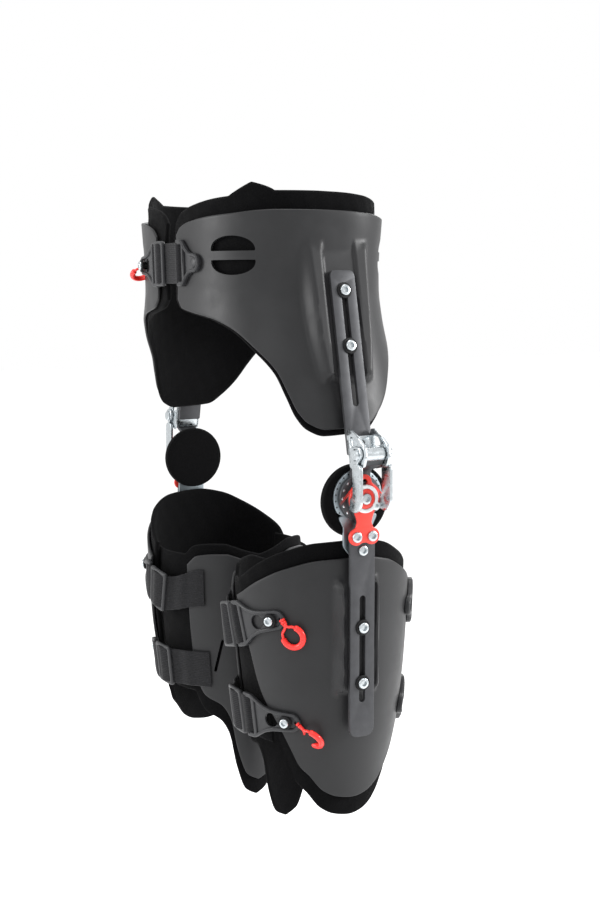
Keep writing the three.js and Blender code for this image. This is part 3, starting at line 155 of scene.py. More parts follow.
def thigh_point(turn, z, offset):
    """Points of the left thigh's form: turn 0 is lateral, -90 the front and 180 medial."""
    turn, z, offset = np.broadcast_arrays(*np.atleast_1d(turn, z, offset))
    share = (CUFF_TOP - z) / (CUFF_TOP - CUFF_BOTTOM)
    c, s = np.cos(np.radians(turn)), np.sin(np.radians(turn))
    a = np.where(c >= 0, THIGH_LATERAL * thigh_lateral(share), THIGH_MEDIAL * thigh_medial(share))
    b = THIGH_DEPTH * thigh_depth(share)
    length = np.hypot(c / a, s / b)
    x = THIGH_CENTRE[0] + a * c + offset * c / a / length
    y = THIGH_CENTRE[1] + b * s + offset * s / b / length
    return np.stack([x, y, z], axis=-1)


# The upper bar leans outwards with the hip, and the joint's plates are stacked along X
BAR_TOP, BAR_BOTTOM = Vector((150, 0, 16)), Vector((185, 0, -146))
BAR_UP = (BAR_TOP - BAR_BOTTOM).normalized()
BAR_OUT = Vector((0, 1, 0)).cross(BAR_UP)
SCALE_X = 181.5
LINK_X = 184.4
LOWER_BAR_X = 188.8
RED_PLATE_X = 193.1
DIAL_X = 195.9


def upper_bar_x(z):
    return BAR_TOP.x + (BAR_TOP.z - z) * (BAR_BOTTOM.x - BAR_TOP.x) / (BAR_TOP.z - BAR_BOTTOM.z)


# The raised land that a bar is screwed to, with a low ridge on each side of the bar
LAND_HALF_WIDTH = 15.5
RIDGE_HEIGHT = 2.3
RIDGE_WIDTH = 1.8
PELVIS_LAND = (44, -84)
CUFF_LAND = (-257, -366)
CUFF_LAND_SKIRT = 23.5


def raised(points, bar_x, top, bottom, shoulder, slope):
    y = np.abs(points[..., 1])
    z = points[..., 2]
    skirt = shoulder(z)
    across = 1 - fade(y, skirt - slope, skirt)
    along = fade(z, bottom, bottom + 10) * (1 - fade(z, top - 7, top))
    lift = np.maximum(0, bar_x - 0.8 - points[..., 0]) * across * along
    ridge = fade(y, LAND_HALF_WIDTH, LAND_HALF_WIDTH + RIDGE_WIDTH) * across * along * RIDGE_HEIGHT
    points[..., 0] += lift + ridge
    return points


def pelvis_shell_point(turn, z, offset):
    points = pelvis_point(turn, z, offset)
    points[..., 0] -= offset
    shoulder = line_through(table("z y", (-84, 29), (-40, 34), (44, 37)), "z", "y")
    raised(points, upper_bar_x(points[..., 2]), *PELVIS_LAND, shoulder, 9)
    points[..., 0] += offset
    return points


def cuff_shell_point(turn, z, offset):
    points = thigh_point(turn, z, offset)
    points[..., 0] -= offset
    raised(points, LOWER_BAR_X, *CUFF_LAND, lambda z: CUFF_LAND_SKIRT, 5)
    points[..., 0] += offset
    return points


def liner_point(turn, z, offset):
    return pelvis_point(turn, z, offset - 4 * fade(z, PELVIS_TOP / 2, PELVIS_LINER_TOP))


# Panels: a closed sheet of even thickness with rounded edges, on a form
def spaced(start, end, start_edge, end_edge, count):
    """Places from start to end that lie close together near both ends."""
    near = np.array([0, 0.05, 0.2, 0.45, 0.75])
    start, end = np.atleast_1d(start)[:, None], np.atleast_1d(end)[:, None]
    first, last = start + near * start_edge, end - near[::-1] * end_edge
    share = np.linspace(0, 1, count)
    middle = start + start_edge + (end - end_edge - start - start_edge) * share
    return np.concatenate([first, middle, last], axis=1)


def panel(point_at, turns, top_at, low_at, middle, thickness, edge, columns, rows, wave=0):
    """A panel between two turns. top_at and low_at give its edges' heights by turn."""
    start, end = turns
    mid_z = (top_at(np.array([0.0])) + low_at(np.array([0.0]))) / 2
    reach = [np.linalg.norm(point_at(t + 0.5, mid_z, 0) - point_at(t - 0.5, mid_z, 0)) for t in turns]
    turn = spaced(start, end, edge / reach[0], edge / reach[1], columns)[0]
    top, low = top_at(turn), low_at(turn)
    z = spaced(low, top, edge, edge, rows)
    run = np.linalg.norm(np.diff(point_at(turn, low, 0)[:, :2], axis=0), axis=1)
    along = np.concatenate([[0], np.cumsum(run)])
    top_slope = np.hypot(1, np.gradient(top, along))[:, None]
    low_slope = np.hypot(1, np.gradient(low, along))[:, None]
    inside = np.minimum((z - low[:, None]) / low_slope, (top[:, None] - z) / top_slope)
    ends = np.minimum((turn - start) * reach[0], (end - turn) * reach[1])[:, None]
    depth = np.clip(np.minimum(inside, ends) / edge, 0, 1)
    full = np.sqrt(np.clip(1 - (1 - depth) ** 2, 0, 1)) * thickness / 2
    if wave:
        ripple = np.sin(along[:, None] * 0.31 + z * 0.17) + np.sin(along[:, None] * 0.13 - z * 0.29 + 2)
        middle = middle + wave * 0.5 * ripple * depth
    column = turn[:, None]
    return closed_grid(point_at(column, z, middle + full), point_at(column, z, middle - full))


def closed_grid(outer, inner):
    """Faces over both sides of a grid whose rims coincide or are bridged."""
    columns, rows = outer.shape[:2]
    number = np.arange(columns * rows).reshape(columns, rows)
    corners = [number[:-1, :-1], number[1:, :-1], number[1:, 1:], number[:-1, 1:]]
    quads = np.stack(corners, axis=-1).reshape(-1, 4)
    loop = np.concatenate([number[:-1, 0], number[-1, :-1], number[:0:-1, -1], number[0, :0:-1]])
    size = columns * rows
    rim = np.stack([np.roll(loop, -1), loop, loop + size, np.roll(loop, -1) + size], axis=-1)
    faces = np.concatenate([quads, quads[:, ::-1] + size, rim])
    return np.concatenate([outer.reshape(-1, 3), inner.reshape(-1, 3)]), faces.tolist()


def by_turn(rows, column, reach, scale, base=0):
    line = line_through(rows, "turn", column)
    return lambda turn: base + line(turn / reach) * scale


# Flat outlines in millimetres, as lists of points
def arc(x, y, radius, start, end, count=16):
    angles = np.radians(np.linspace(start, end, count))
    return [(x + radius * math.cos(a), y + radius * math.sin(a)) for a in angles]


def circle(x, y, radius, count=40):
    return arc(x, y, radius, 0, 360, count + 1)[:-1]


def slot_outline(x, low, high, width):
    r = width / 2
    return arc(x, high - r, r, 0, 180) + arc(x, low + r, r, 180, 360)


def rounded(points, radius, count=7):
    """An outline with its corners rounded, by one radius or by one for each corner."""
    radii = radius if isinstance(radius, (list, tuple)) else [radius] * len(points)
    made = []
    for i, corner in enumerate(points):
        before, here, after = (Vector(points[i - 1]), Vector(corner), Vector(points[(i + 1) % len(points)]))
        one, two = before - here, after - here
        angle = one.angle(two, math.pi)
        cut = min(radii[i] / max(math.tan(angle / 2), 1e-3), one.length * 0.49, two.length * 0.49)
        start, end = here + one.normalized() * cut, here + two.normalized() * cut
        for t in np.linspace(0, 1, count):
            point = start * (1 - t) ** 2 + here * 2 * t * (1 - t) + end * t * t
            made.append((point.x, point.y))
    return made


def plate(outlines, thickness, bevel, cuts=()):
    """A flat plate with rounded edges, lying on w = 0. Cuts are places in u where it may bend."""
    curve = bpy.data.curves.new("outline", "CURVE")
    curve.dimensions, curve.fill_mode = "2D", "BOTH"
    curve.extrude, curve.bevel_depth = thickness / 2 - bevel, bevel
    curve.bevel_resolution, curve.offset = 2, -bevel
    for outline in outlines:
        spline = curve.splines.new("POLY")
        spline.points.add(len(outline) - 1)
        spline.points.foreach_set("co", [c for x, y in outline for c in (x, y, 0, 1)])
        spline.use_cyclic_u = True
    holder = bpy.data.objects.new("outline", curve)
    mesh = bpy.data.meshes.new_from_object(holder)
    work = bmesh.new()
    work.from_mesh(mesh)
    bmesh.ops.remove_doubles(work, verts=work.verts, dist=1e-3)
    for u in cuts:
        everything = [*work.verts, *work.edges, *work.faces]
        bmesh.ops.bisect_plane(work, geom=everything, plane_co=(u, 0, 0), plane_no=(1, 0, 0))
    work.verts.index_update()
    points = np.array([vertex.co for vertex in work.verts]) + (0, 0, thickness / 2)
    faces = [[vertex.index for vertex in face.verts] for face in work.faces]
    work.free()
    bpy.data.objects.remove(holder)
    bpy.data.curves.remove(curve)
    bpy.data.meshes.remove(mesh)
    return points, faces


def framed(shape, origin, across, along):
    """Puts a plate at an origin, with its u along across and its v along along."""
    points, faces = shape
    across, along = Vector(across), Vector(along)
    basis = np.array([across, along, across.cross(along)])
    return points @ basis + np.array(origin), faces


def side_plate(outlines, x, thickness, bevel=0.4):
    return framed(plate(outlines, thickness, bevel), (x, 0, 0), (0, 1, 0), (0, 0, 1))


def bar_plate(outlines, out, thickness, bevel=0.4):
    return framed(plate(outlines, thickness, bevel), BAR_TOP + BAR_OUT * out, (0, 1, 0), BAR_UP)


def turned(profile, origin, axis, sides=40, socket=()):
    """A turned piece from rows of radius and distance. Rows named in socket become six-sided."""
    axis = Vector(axis).normalized()
    turn = np.array(axis.to_track_quat("Z", "Y").to_matrix())
    angles = np.arange(sides) * 2 * math.pi / sides
    rings = []
    for i, (radius, distance) in enumerate(profile):
        r = np.full(sides, float(radius))
        if i in socket:
            r /= np.cos((angles % (math.pi / 3)) - math.pi / 6)
        rings.append(np.stack([r * np.cos(angles), r * np.sin(angles), np.full(sides, distance)], axis=-1))
    points = np.concatenate(rings) @ turn.T + np.array(origin)
    faces = []
    for i in range(len(profile) - 1):
        for j in range(sides):
            k = (j + 1) % sides
            faces.append([i * sides + j, i * sides + k, (i + 1) * sides + k, (i + 1) * sides + j])
    return points, faces


def tube(path, radius, sides=14, closed=False):
    """A round tube along a path, with domed ends."""
    path = np.asarray(path, float)
    ahead = np.roll(path, -1, axis=0) - np.roll(path, 1, axis=0)
    if not closed:
        ahead[0], ahead[-1] = path[1] - path[0], path[-1] - path[-2]
    ahead /= np.linalg.norm(ahead, axis=1)[:, None]
    side = np.cross(ahead[0], (0.3, 0.5, 0.8))
    radii, centres, directions = [1.0] * len(path), list(path), list(ahead)
    if not closed:
        for share in (0.75, 0.35):
            first = centres[0] - directions[0] * radius * 0.3
            last = centres[-1] + directions[-1] * radius * 0.3
            centres = [first, *centres, last]
            directions = [directions[0], *directions, directions[-1]]
            radii = [share, *radii, share]
    rings = []
    for centre, direction, share in zip(centres, directions, radii):
        side = side - direction * np.dot(side, direction)
        side /= np.linalg.norm(side)
        other = np.cross(direction, side)
        angles = np.arange(sides)[:, None] * 2 * math.pi / sides
        rings.append(centre + radius * share * (np.cos(angles) * side + np.sin(angles) * other))
    count = len(rings)
    faces = []
    for i in range(count if closed else count - 1):
        for j in range(sides):
            k, n = (j + 1) % sides, (i + 1) % count
            faces.append([i * sides + j, i * sides + k, n * sides + k, n * sides + j])
    if not closed:
        faces += [list(range(sides))[::-1], [(count - 1) * sides + j for j in range(sides)]]
    return np.concatenate(rings), faces


def smooth_path(points, count):
    """A smooth curve through the points."""
    points = np.asarray(points, float)
    padded = np.concatenate([[2 * points[0] - points[1]], points, [2 * points[-1] - points[-2]]])
    made = []
    for i in range(len(points) - 1):
        p0, p1, p2, p3 = padded[i : i + 4]
        for t in np.linspace(0, 1, count, endpoint=False):
            made.append(0.5 * (2 * p1 + (p2 - p0) * t + (2 * p0 - 5 * p1 + 4 * p2 - p3) * t * t
                               + (3 * p1 - p0 - 3 * p2 + p3) * t**3))
    return np.array([*made, points[-1]])


def together(*shapes):
    points, faces, start = [], [], 0
    for shape_points, shape_faces in shapes:
        points.append(shape_points)
        faces += [[start + i for i in face] for face in shape_faces]
        start += len(shape_points)
    return np.concatenate(points), faces


# Bending a flat shape onto a form. u runs round the form from a point, v runs up and w outwards.
def onto(point_at, turn, z, side=1, lift=0):
    reach = np.linalg.norm(point_at(turn + 0.5, z, 0) - point_at(turn - 0.5, z, 0))

    def bend(points):
        points = np.asarray(points, float)
        u, v, w = points[..., 0], points[..., 1], points[..., 2]
        return point_at(turn + side * u / reach, z + v, w + lift)

    return bend


def onto_waist(x, z, side, lift=0):
    """As onto, but u runs along X from x, on the front (side -1) or the rear (side 1)."""

    def bend(points):
        points = np.asarray(points, float)
        across, height = x + points[..., 0], z + points[..., 1]
        share = np.abs(across) / (WAIST_HALF_WIDTH * pelvis_width(height / PELVIS_DROP))
        c = np.sign(across) * share ** (PELVIS_ROUNDNESS / 2)
        return pelvis_point(side * np.degrees(np.arccos(c)), height, points[..., 2] + lift)

    return bend


def bent(shape, bend, flip=False):
    points, faces = shape
    return bend(points), ([face[::-1] for face in faces] if flip else faces)


# Materials, all worked out from noise and waves in the part's own frame
def material(name, color, roughness, metallic=0.0, **sockets):
    made = bpy.data.materials.new(name)
    made.use_nodes = True
    shader = made.node_tree.nodes["Principled BSDF"]
    shader.inputs["Base Color"].default_value = (*color, 1)
    shader.inputs["Roughness"].default_value = roughness
    shader.inputs["Metallic"].default_value = metallic
    for socket, value in sockets.items():
        shader.inputs[socket.replace("_", " ")].default_value = value
    return made


def node(made, kind, **values):
    new = made.node_tree.nodes.new("ShaderNode" + kind)
    for name, value in values.items():
        if name in new.inputs:
            new.inputs[name].default_value = value
        else:
            setattr(new, name, value)
    return new


def link(made, source, target):
    made.node_tree.links.new(source, target)


def noise(made, scale, detail=3, roughness=0.6):
    place = node(made, "TexCoord")
    texture = node(made, "TexNoise", Scale=scale, Detail=detail, Roughness=roughness)
    link(made, place.outputs["Object"], texture.inputs["Vector"])
    return texture.outputs["Fac"]


def ramp(made, source, *stops):
    mapped = node(made, "ValToRGB")
    elements = mapped.color_ramp.elements
    while len(elements) < len(stops):
        elements.new(0.5)
    for element, (place, color) in zip(elements, stops):
        element.position = place
        element.color = (*color, 1) if isinstance(color, tuple) else (color, color, color, 1)
    link(made, source, mapped.inputs["Fac"])
    return mapped.outputs["Color"]


def tint(made, source, color, spread):
    """Colour that varies a little about its own value."""
    low, high = (tuple(c * f for c in color) for f in (1 - spread, 1 + spread))
    shader = made.node_tree.nodes["Principled BSDF"]
    link(made, ramp(made, source, (0.3, low), (0.7, high)), shader.inputs["Base Color"])


def rough(made, source, low, high):
    shader = made.node_tree.nodes["Principled BSDF"]
    link(made, ramp(made, source, (0.3, low), (0.7, high)), shader.inputs["Roughness"])


def bump(made, source, depth, strength=1.0):
    """Relief of a depth in millimetres, laid over what is there already."""
    shader = made.node_tree.nodes["Principled BSDF"]
    relief = node(made, "Bump", Strength=strength, Distance=depth * MM)
    before = shader.inputs["Normal"].links
    if before:
        link(made, before[0].from_socket, relief.inputs["Normal"])
    link(made, source, relief.inputs["Height"])
    link(made, relief.outputs["Normal"], shader.inputs["Normal"])


def waves(made, direction, period, distortion=0.0):
    place = node(made, "TexCoord")
    texture = node(made, "TexWave", Scale=2 * math.pi / (20 * period * MM), Distortion=distortion)
    texture.bands_direction = direction
    link(made, place.outputs["Object"], texture.inputs["Vector"])
    return texture.outputs["Fac"]


def finish(name, color, roughness, mottle, spread, gloss=None, relief=(), metallic=0.0, **sockets):
    """A material whose colour, gloss and relief come from noise, given as scale, detail and roughness."""
    made = material(name, color, roughness, metallic, **sockets)
    tint(made, noise(made, *mottle), color, spread)
    if gloss:
        scale, low, high = gloss
        rough(made, noise(made, *scale), low, high)
    for pattern, depth, strength in relief:
        bump(made, noise(made, *pattern), depth, strength)
    return made


def zinc(name, color, low, high):
    return finish(
        name, color, 0.24, (120, 4), 0.08, ((260, 4), low, high), [((500, 3), 0.05, 0.35)], 1.0,
    )


def lacquer(name, color, roughness):
    return finish(
        name, color, roughness, (150, 3), 0.07, ((300, 3), roughness - 0.05, roughness + 0.08),
        [((1500, 2), 0.02, 0.35)], Coat_Weight=0.3, Coat_Roughness=0.25,
    )


def webbing():
    color = (0.0125, 0.0125, 0.0138)
    made = material("webbing", color, 0.8, Sheen_Weight=0.06, Sheen_Roughness=0.4, Specular_IOR_Level=0.16)
    tint(made, noise(made, 700, 3), color, 0.4)
    bump(made, waves(made, "Z", 1.9, 0.2), 0.35, 0.9)
    bump(made, noise(made, 1500, 3, 0.7), 0.25, 0.7)
    return made


LOOKS = {
    "shell_plastic": finish(
        "shell_plastic", (0.019, 0.0192, 0.0203), 0.42, (30, 4), 0.1, ((60, 3), 0.39, 0.48),
        [((1400, 2), 0.05, 0.5), ((14, 2), 0.5, 0.25)], Specular_IOR_Level=0.24,
    ),
    "liner_fleece": finish(
        "liner_fleece", (0.0026, 0.0026, 0.0029), 0.95, (900, 4, 0.75), 0.55, None,
        [((1100, 5, 0.75), 0.7, 0.9), ((160, 3), 0.8, 0.5)],
        Sheen_Weight=0.02, Sheen_Roughness=0.5, Specular_IOR_Level=0.06,
    ),
    "anodised_bar": finish(
        "anodised_bar", (0.05, 0.051, 0.055), 0.4, (90, 3), 0.12, ((220, 3), 0.36, 0.5),
        [((2600, 2), 0.02, 0.4)], 0.45, Specular_IOR_Level=0.4,
    ),
    "zinc_plate": zinc("zinc_plate", (0.5, 0.535, 0.555), 0.18, 0.36),
    "scale_metal": zinc("scale_metal", (0.27, 0.31, 0.335), 0.3, 0.48),
    "red_lacquer": lacquer("red_lacquer", (0.72, 0.028, 0.014), 0.36),
    "dial_white": lacquer("dial_white", (0.72, 0.74, 0.75), 0.3),
    "webbing": webbing(),
    "buckle_plastic": finish(
        "buckle_plastic", (0.021, 0.0215, 0.0235), 0.36, (120, 3), 0.12, ((300, 3), 0.38, 0.5),
        [((1800, 2), 0.03, 0.5)], Specular_IOR_Level=0.34,
    ),
    "pull_cord": finish(
        "pull_cord", (0.78, 0.018, 0.012), 0.4, (400, 3), 0.1, None, [((1600, 2), 0.04, 0.5)],
        Coat_Weight=0.15,
    ),
    "black_rubber": finish(
        "black_rubber", (0.006, 0.006, 0.0066), 0.6, (400, 3), 0.2, None, [((1500, 2), 0.04, 0.5)],
        Specular_IOR_Level=0.2,
    ),
}
SIDES = {"left": 1, "right": -1}


# Making pieces
def make(name, shape, look, body, replaced=(), smooth=38, side=1, weld=True):
    points, faces = shape
    points = np.array(points) * MM
    if side < 0:
        points[:, 0] *= -1
        faces = [face[::-1] for face in faces]
    mesh = bpy.data.meshes.new(name)
    mesh.from_pydata(points.tolist(), [], faces)
    if weld:
        work = bmesh.new()
        work.from_mesh(mesh)
        bmesh.ops.remove_doubles(work, verts=work.verts, dist=2e-6)
        bmesh.ops.recalc_face_normals(work, faces=work.faces)
        work.to_mesh(mesh)
        work.free()
    mesh.materials.append(LOOKS[look])
    mesh.shade_smooth()
    mesh.set_sharp_from_angle(angle=math.radians(smooth))
    made = bpy.data.objects.new(name, mesh)
    bpy.context.scene.collection.objects.link(made)
    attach(made, body)
    if replaced:
        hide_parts(*replaced)
    return made


def pierce(piece, *tools):
    """Cuts the tools' shapes through a piece."""
    for points, faces in tools:
        mesh = bpy.data.meshes.new("tool")
        mesh.from_pydata((np.array(points) * MM).tolist(), [], faces)
        cutter = bpy.data.objects.new("tool", mesh)
        bpy.context.scene.collection.objects.link(cutter)
        modifier = piece.modifiers.new("pierce", "BOOLEAN")
        modifier.operation, modifier.solver, modifier.object = "DIFFERENCE", "EXACT", cutter
        bpy.context.view_layer.update()
        result = bpy.data.meshes.new_from_object(piece.evaluated_get(bpy.context.evaluated_depsgraph_get()))
        piece.modifiers.clear()
        piece.data = result
        bpy.data.objects.remove(cutter)
    piece.data.shade_smooth()
    piece.data.set_sharp_from_angle(angle=math.radians(38))


def mirrored(shape):
    points, faces = shape
    return points * (-1, 1, 1), [face[::-1] for face in faces]


# Pelvic halves
PELVIS_EDGE = table(
    "turn top low",
    (-1, 0.72, -0.08),
    (-0.965, 0.82, -0.145),
    (-0.9, 0.88, -0.17),
    (-0.73, 0.94, -0.22),
    (-0.6, 0.96, -0.29),
    (-0.45, 0.99, -0.44),
    (-0.345, 1.0, -0.58),
    (-0.285, 1.0, -0.74),
    (-0.24, 1.0, -0.87),
    (-0.185, 1.0, -0.955),
    (-0.1, 1.0, -1.0),
    (0.06, 0.99, -0.98),
    (0.15, 0.98, -0.9),
    (0.24, 0.97, -0.79),
    (0.36, 0.95, -0.6),
    (0.5, 0.93, -0.42),
    (0.7, 0.9, -0.25),
    (0.9, 0.86, -0.17),
    (1, 0.74, -0.1),
)


def pelvic_panel(point_at, reach, top, drop, middle, thickness, edge, wave=0, tab=None):
    edge_top = by_turn(PELVIS_EDGE, "top", reach, top)
    return panel(
        point_at, (-reach, reach), lambda turn: edge_top(turn) + (tab(turn) if tab else 0),
        by_turn(PELVIS_EDGE, "low", reach, drop), middle, thickness, edge, 220, 60, wave,
    )


VENT_TURN, VENT_HALF_WIDTH, VENT_HEIGHT, VENT_BRIDGE, VENT_Z = 50, 24, 13.5, 8, 30


def vent_tools(side):
    """Two half-round openings one above the other, near the front and near the rear."""
    tools = []
    for turn in (-VENT_TURN, VENT_TURN):
        foot, out = pelvis_point(turn, VENT_Z, 0)[0], pelvis_point(turn, VENT_Z, 1)[0]
        out = Vector(out - foot).normalized()
        across = Vector((0, 0, 1)).cross(out)
        for way in (1, -1):
            base = way * VENT_BRIDGE / 2
            arch = [(VENT_HALF_WIDTH * math.cos(a), base + way * VENT_HEIGHT * math.sin(a) ** 0.8)
                    for a in np.linspace(0, math.pi, 25)]
            block = plate([rounded(arch, 1.2, 3)], 30, 0.01)
            shape = framed(block, Vector(foot) - out * 15, across, (0, 0, 1))
            tools.append(mirrored(shape) if side < 0 else shape)
    return tools


def liner_tab(turn):
    """A low peak of the padding near the front of its top edge."""
    return 9 * (1 - np.clip(np.abs(turn + 42) / 13, 0, 1)) ** 0.8


def pelvic_half(name, side):
    shell = make(
        f"pelvic_shell_{name}_skin",
        pelvic_panel(pelvis_shell_point, 84, PELVIS_TOP, PELVIS_DROP, -SHELL_WALL / 2, SHELL_WALL, 1.4),
        "shell_plastic", "pelvis", [f"pelvic_shell_{name}"], side=side,
    )
    pierce(shell, *vent_tools(side))
    outer = -SHELL_WALL - LAYER_GAP
    liner = make(
        f"pelvic_pad_{name}",
        pelvic_panel(
            liner_point, 88, PELVIS_LINER_TOP, PELVIS_LINER_DROP, outer - LINER_WALL / 2, LINER_WALL,
            2.6, 0.3, liner_tab,
        ),
        "liner_fleece", "pelvis", [f"pelvic_liner_{name}"], side=side,
    )


# Bars with their screws
def upper_bar():
    half = BAR_WIDTH / 2
    length = (BAR_TOP - BAR_BOTTOM).length
    corners = [(half, 0), (-half, 0), (-half, -length), (half, -length)]
    slope = length / (BAR_TOP.z - BAR_BOTTOM.z)
    slot = slot_outline(0, (-104 - BAR_TOP.z) * slope, (4 - BAR_TOP.z) * slope, SLOT_WIDTH)
    return bar_plate([rounded(corners, [6, 6, 2, 2]), slot], 0, BAR_THICKNESS)


LOWER_BAR_END = -402


def lower_bar():
    half = BAR_WIDTH / 2
    corners = [(-half, PIVOT_Z - 30), (-half, LOWER_BAR_END), (half, LOWER_BAR_END), (half, PIVOT_Z - 30)]
    outline = arc(0, PIVOT_Z, 15, -33, 213, 40) + rounded(corners, [12, 9, 9, 12])
    slot = slot_outline(0, -370, -272, SLOT_WIDTH)
    return side_plate([outline, slot], LOWER_BAR_X, BAR_THICKNESS)


HEAD = [(2.3, 0.4), (2.3, 2.1), (2.5, 2.4), (3.9, 2.4), (4.6, 2.0), (5.0, 1.2), (5.0, 0)]


def screw_head(foot, axis, scale=1.0):
    """A domed button head with a six-sided socket."""
    rows = [(0, 0.4)] + HEAD
    rows = [(r * scale, d * scale) for r, d in rows]
    return turned(rows, foot, axis, 48, socket=(1, 2))


def washer(foot, axis, radius, thickness, hole=2.6):
    inner, outer = [(hole, 0), (hole, thickness)], [(radius, thickness - 0.5), (radius, 0)]
    rows = [*inner, (radius - 0.5, thickness), *outer, (hole, 0)]
    return turned(rows, foot, axis, 48)


def bar_screw(side, node_name, body, foot, axis):
    seat = Vector(foot) + Vector(axis) * (BAR_THICKNESS + 0.3)
    head = screw_head(seat + Vector(axis) * 1.2, axis)
    make(f"{node_name}_head", head, "zinc_plate", body, [node_name], side=side)
    make(f"{node_name}_washer", washer(seat, axis, 7.2, 1.2), "black_rubber", body, side=side)


def bars(name, side):
    thigh = f"thigh_{name}"
    make(f"upper_bar_{name}_finish", upper_bar(), "anodised_bar", "pelvis", [f"upper_bar_{name}"], side=side)
    make(f"lower_bar_{name}_finish", lower_bar(), "anodised_bar", thigh, [f"lower_bar_{name}"], side=side)
    slope = (BAR_TOP - BAR_BOTTOM).length / (BAR_TOP.z - BAR_BOTTOM.z)
    for i, z in enumerate((-2, -51), 1):
        foot = BAR_TOP + BAR_UP * (z - BAR_TOP.z) * slope
        bar_screw(side, f"upper_bar_screw_{i}_{name}", "pelvis", foot, BAR_OUT)
    for i, z in enumerate((-301, -352), 1):
        bar_screw(side, f"lower_bar_screw_{i}_{name}", thigh, (LOWER_BAR_X, 0, z), (1, 0, 0))


# Hip joint
EAR_OUTSIDE, EAR_THICKNESS, ARM_THICKNESS = 13.3, 2.8, 2.8
EAR_INSIDE = EAR_OUTSIDE - EAR_THICKNESS
ARM_INSIDE = EAR_OUTSIDE + 0.4
ARM_OUTSIDE = ARM_INSIDE + ARM_THICKNESS
AXLE = Vector((AXLE_X, 0, AXLE_Z))
AXLE_OUT = (AXLE - BAR_TOP).dot(BAR_OUT)
AXLE_UP = (AXLE - BAR_TOP).dot(BAR_UP)


EAR_RISE, EAR_FALL, EAR_RIM = 23, 12, 9


def bracket():
    web_out = BAR_THICKNESS + 0.3
    low, top, rim = AXLE_UP - EAR_FALL, AXLE_UP + EAR_RISE, AXLE_OUT + EAR_RIM
    ear = rounded(
        [(web_out, low + 3), (web_out + 4, low), (AXLE_OUT + 4, low), (rim, AXLE_UP - 4), (rim, AXLE_UP + 6),
         (AXLE_OUT + 0.9, AXLE_UP + 14.5), (web_out + 8, top), (web_out + 3, top + 1),
         (web_out, AXLE_UP + 19)],
        [2, 3, 5, 6, 7, 8, 5, 2, 2],
    )
    window = rounded(
        [(web_out + 5, AXLE_UP + 7.5), (AXLE_OUT - 1, AXLE_UP + 7.5), (AXLE_OUT - 5, AXLE_UP + 15),
         (web_out + 5, AXLE_UP + 18)], 2.5,
    )
    bore = circle(AXLE_OUT, AXLE_UP, 4.2)
    ears = [
        framed(plate([ear, window, bore], EAR_THICKNESS, 0.5), BAR_TOP + Vector((0, y, 0)), BAR_OUT, BAR_UP)
        for y in (EAR_OUTSIDE, -EAR_INSIDE)
    ]
    half, web_low, web_top = EAR_OUTSIDE, AXLE_UP - 8, AXLE_UP + 18
    web = rounded([(half, web_low), (half, web_top), (-half, web_top), (-half, web_low)], 3)
    hole = slot_outline(0, AXLE_UP + 5, AXLE_UP + 14, 7)
    return together(*ears, bar_plate([web, hole], web_out, EAR_THICKNESS, 0.5))


def lever():
    outline = arc(AXLE_X, AXLE_Z, 7.5, 0, 180) + rounded(
        [(AXLE_X - 7.5, AXLE_Z - 8), (AXLE_X - 6, AXLE_Z - 36), (AXLE_X - 11, AXLE_Z - 41),
         (AXLE_X - 11, AXLE_Z - 50), (AXLE_X - 1, AXLE_Z - 52), (AXLE_X + 8, AXLE_Z - 44),
         (AXLE_X + 7.5, AXLE_Z - 8)], [6, 5, 2.5, 3, 8, 10, 6],
    )
    arms = [
        framed(plate([outline], ARM_THICKNESS, 0.6), (0, y, 0), (1, 0, 0), (0, 0, 1))
        for y in (-ARM_INSIDE, ARM_OUTSIDE)
    ]
    head = [(0, -0.6), (4.2, -0.6), (5.4, 0), (5.4, 1.2), (4.4, 2.2), (0, 2.4)]
    heads = [turned(head, AXLE + Vector((0, s * ARM_OUTSIDE, 0)), (0, s, 0)) for s in (1, -1)]
    pin = tube([AXLE + Vector((0, y, 0)) for y in np.linspace(-ARM_OUTSIDE, ARM_OUTSIDE, 9)], 3.9, 28)
    return together(*arms, *heads, pin)


LINK_HALF_WIDTH = 10
PIN_CIRCLE, PIN_STEP, PIN_START, PIN_COUNT = 18.4, 22, 135, 5


def link_plates():
    out = LINK_X + BAR_THICKNESS
    neck = rounded(
        [(AXLE_X - 4, AXLE_Z - 4), (AXLE_X + 4, AXLE_Z - 4), (AXLE_X + 1, AXLE_Z - 10),
         (out + 3, AXLE_Z - 16.5),
         (out, AXLE_Z - 20), (out, AXLE_Z - 32), (LINK_X, AXLE_Z - 32), (LINK_X, AXLE_Z - 18.5),
         (LINK_X + 2, AXLE_Z - 14.5), (AXLE_X - 5, AXLE_Z - 8.5)], [1, 1, 3, 3, 2, 0.3, 0.3, 3, 3, 3],
    )
    bent_neck = framed(plate([neck], 2 * LINK_HALF_WIDTH, 0.5), (0, LINK_HALF_WIDTH, 0), (1, 0, 0), (0, 0, 1))
    disc = side_plate([circle(0, PIVOT_Z, 21, 64), circle(0, PIVOT_Z, 3.4)], LINK_X, BAR_THICKNESS, 0.6)
    return together(bent_neck, disc)


def stop_pins():
    dome = [(0, 0.3), (0.8, 0.22), (1.3, 0), (1.3, -0.5)]
    pins = []
    for i in range(PIN_COUNT):
        a = math.radians(PIN_START + PIN_STEP * i)
        y, z = PIN_CIRCLE * math.cos(a), PIVOT_Z + PIN_CIRCLE * math.sin(a)
        pins.append(turned(dome, (LINK_X + BAR_THICKNESS, y, z), (1, 0, 0), 16))
    return together(*pins)


SCALE_RADIUS = 25


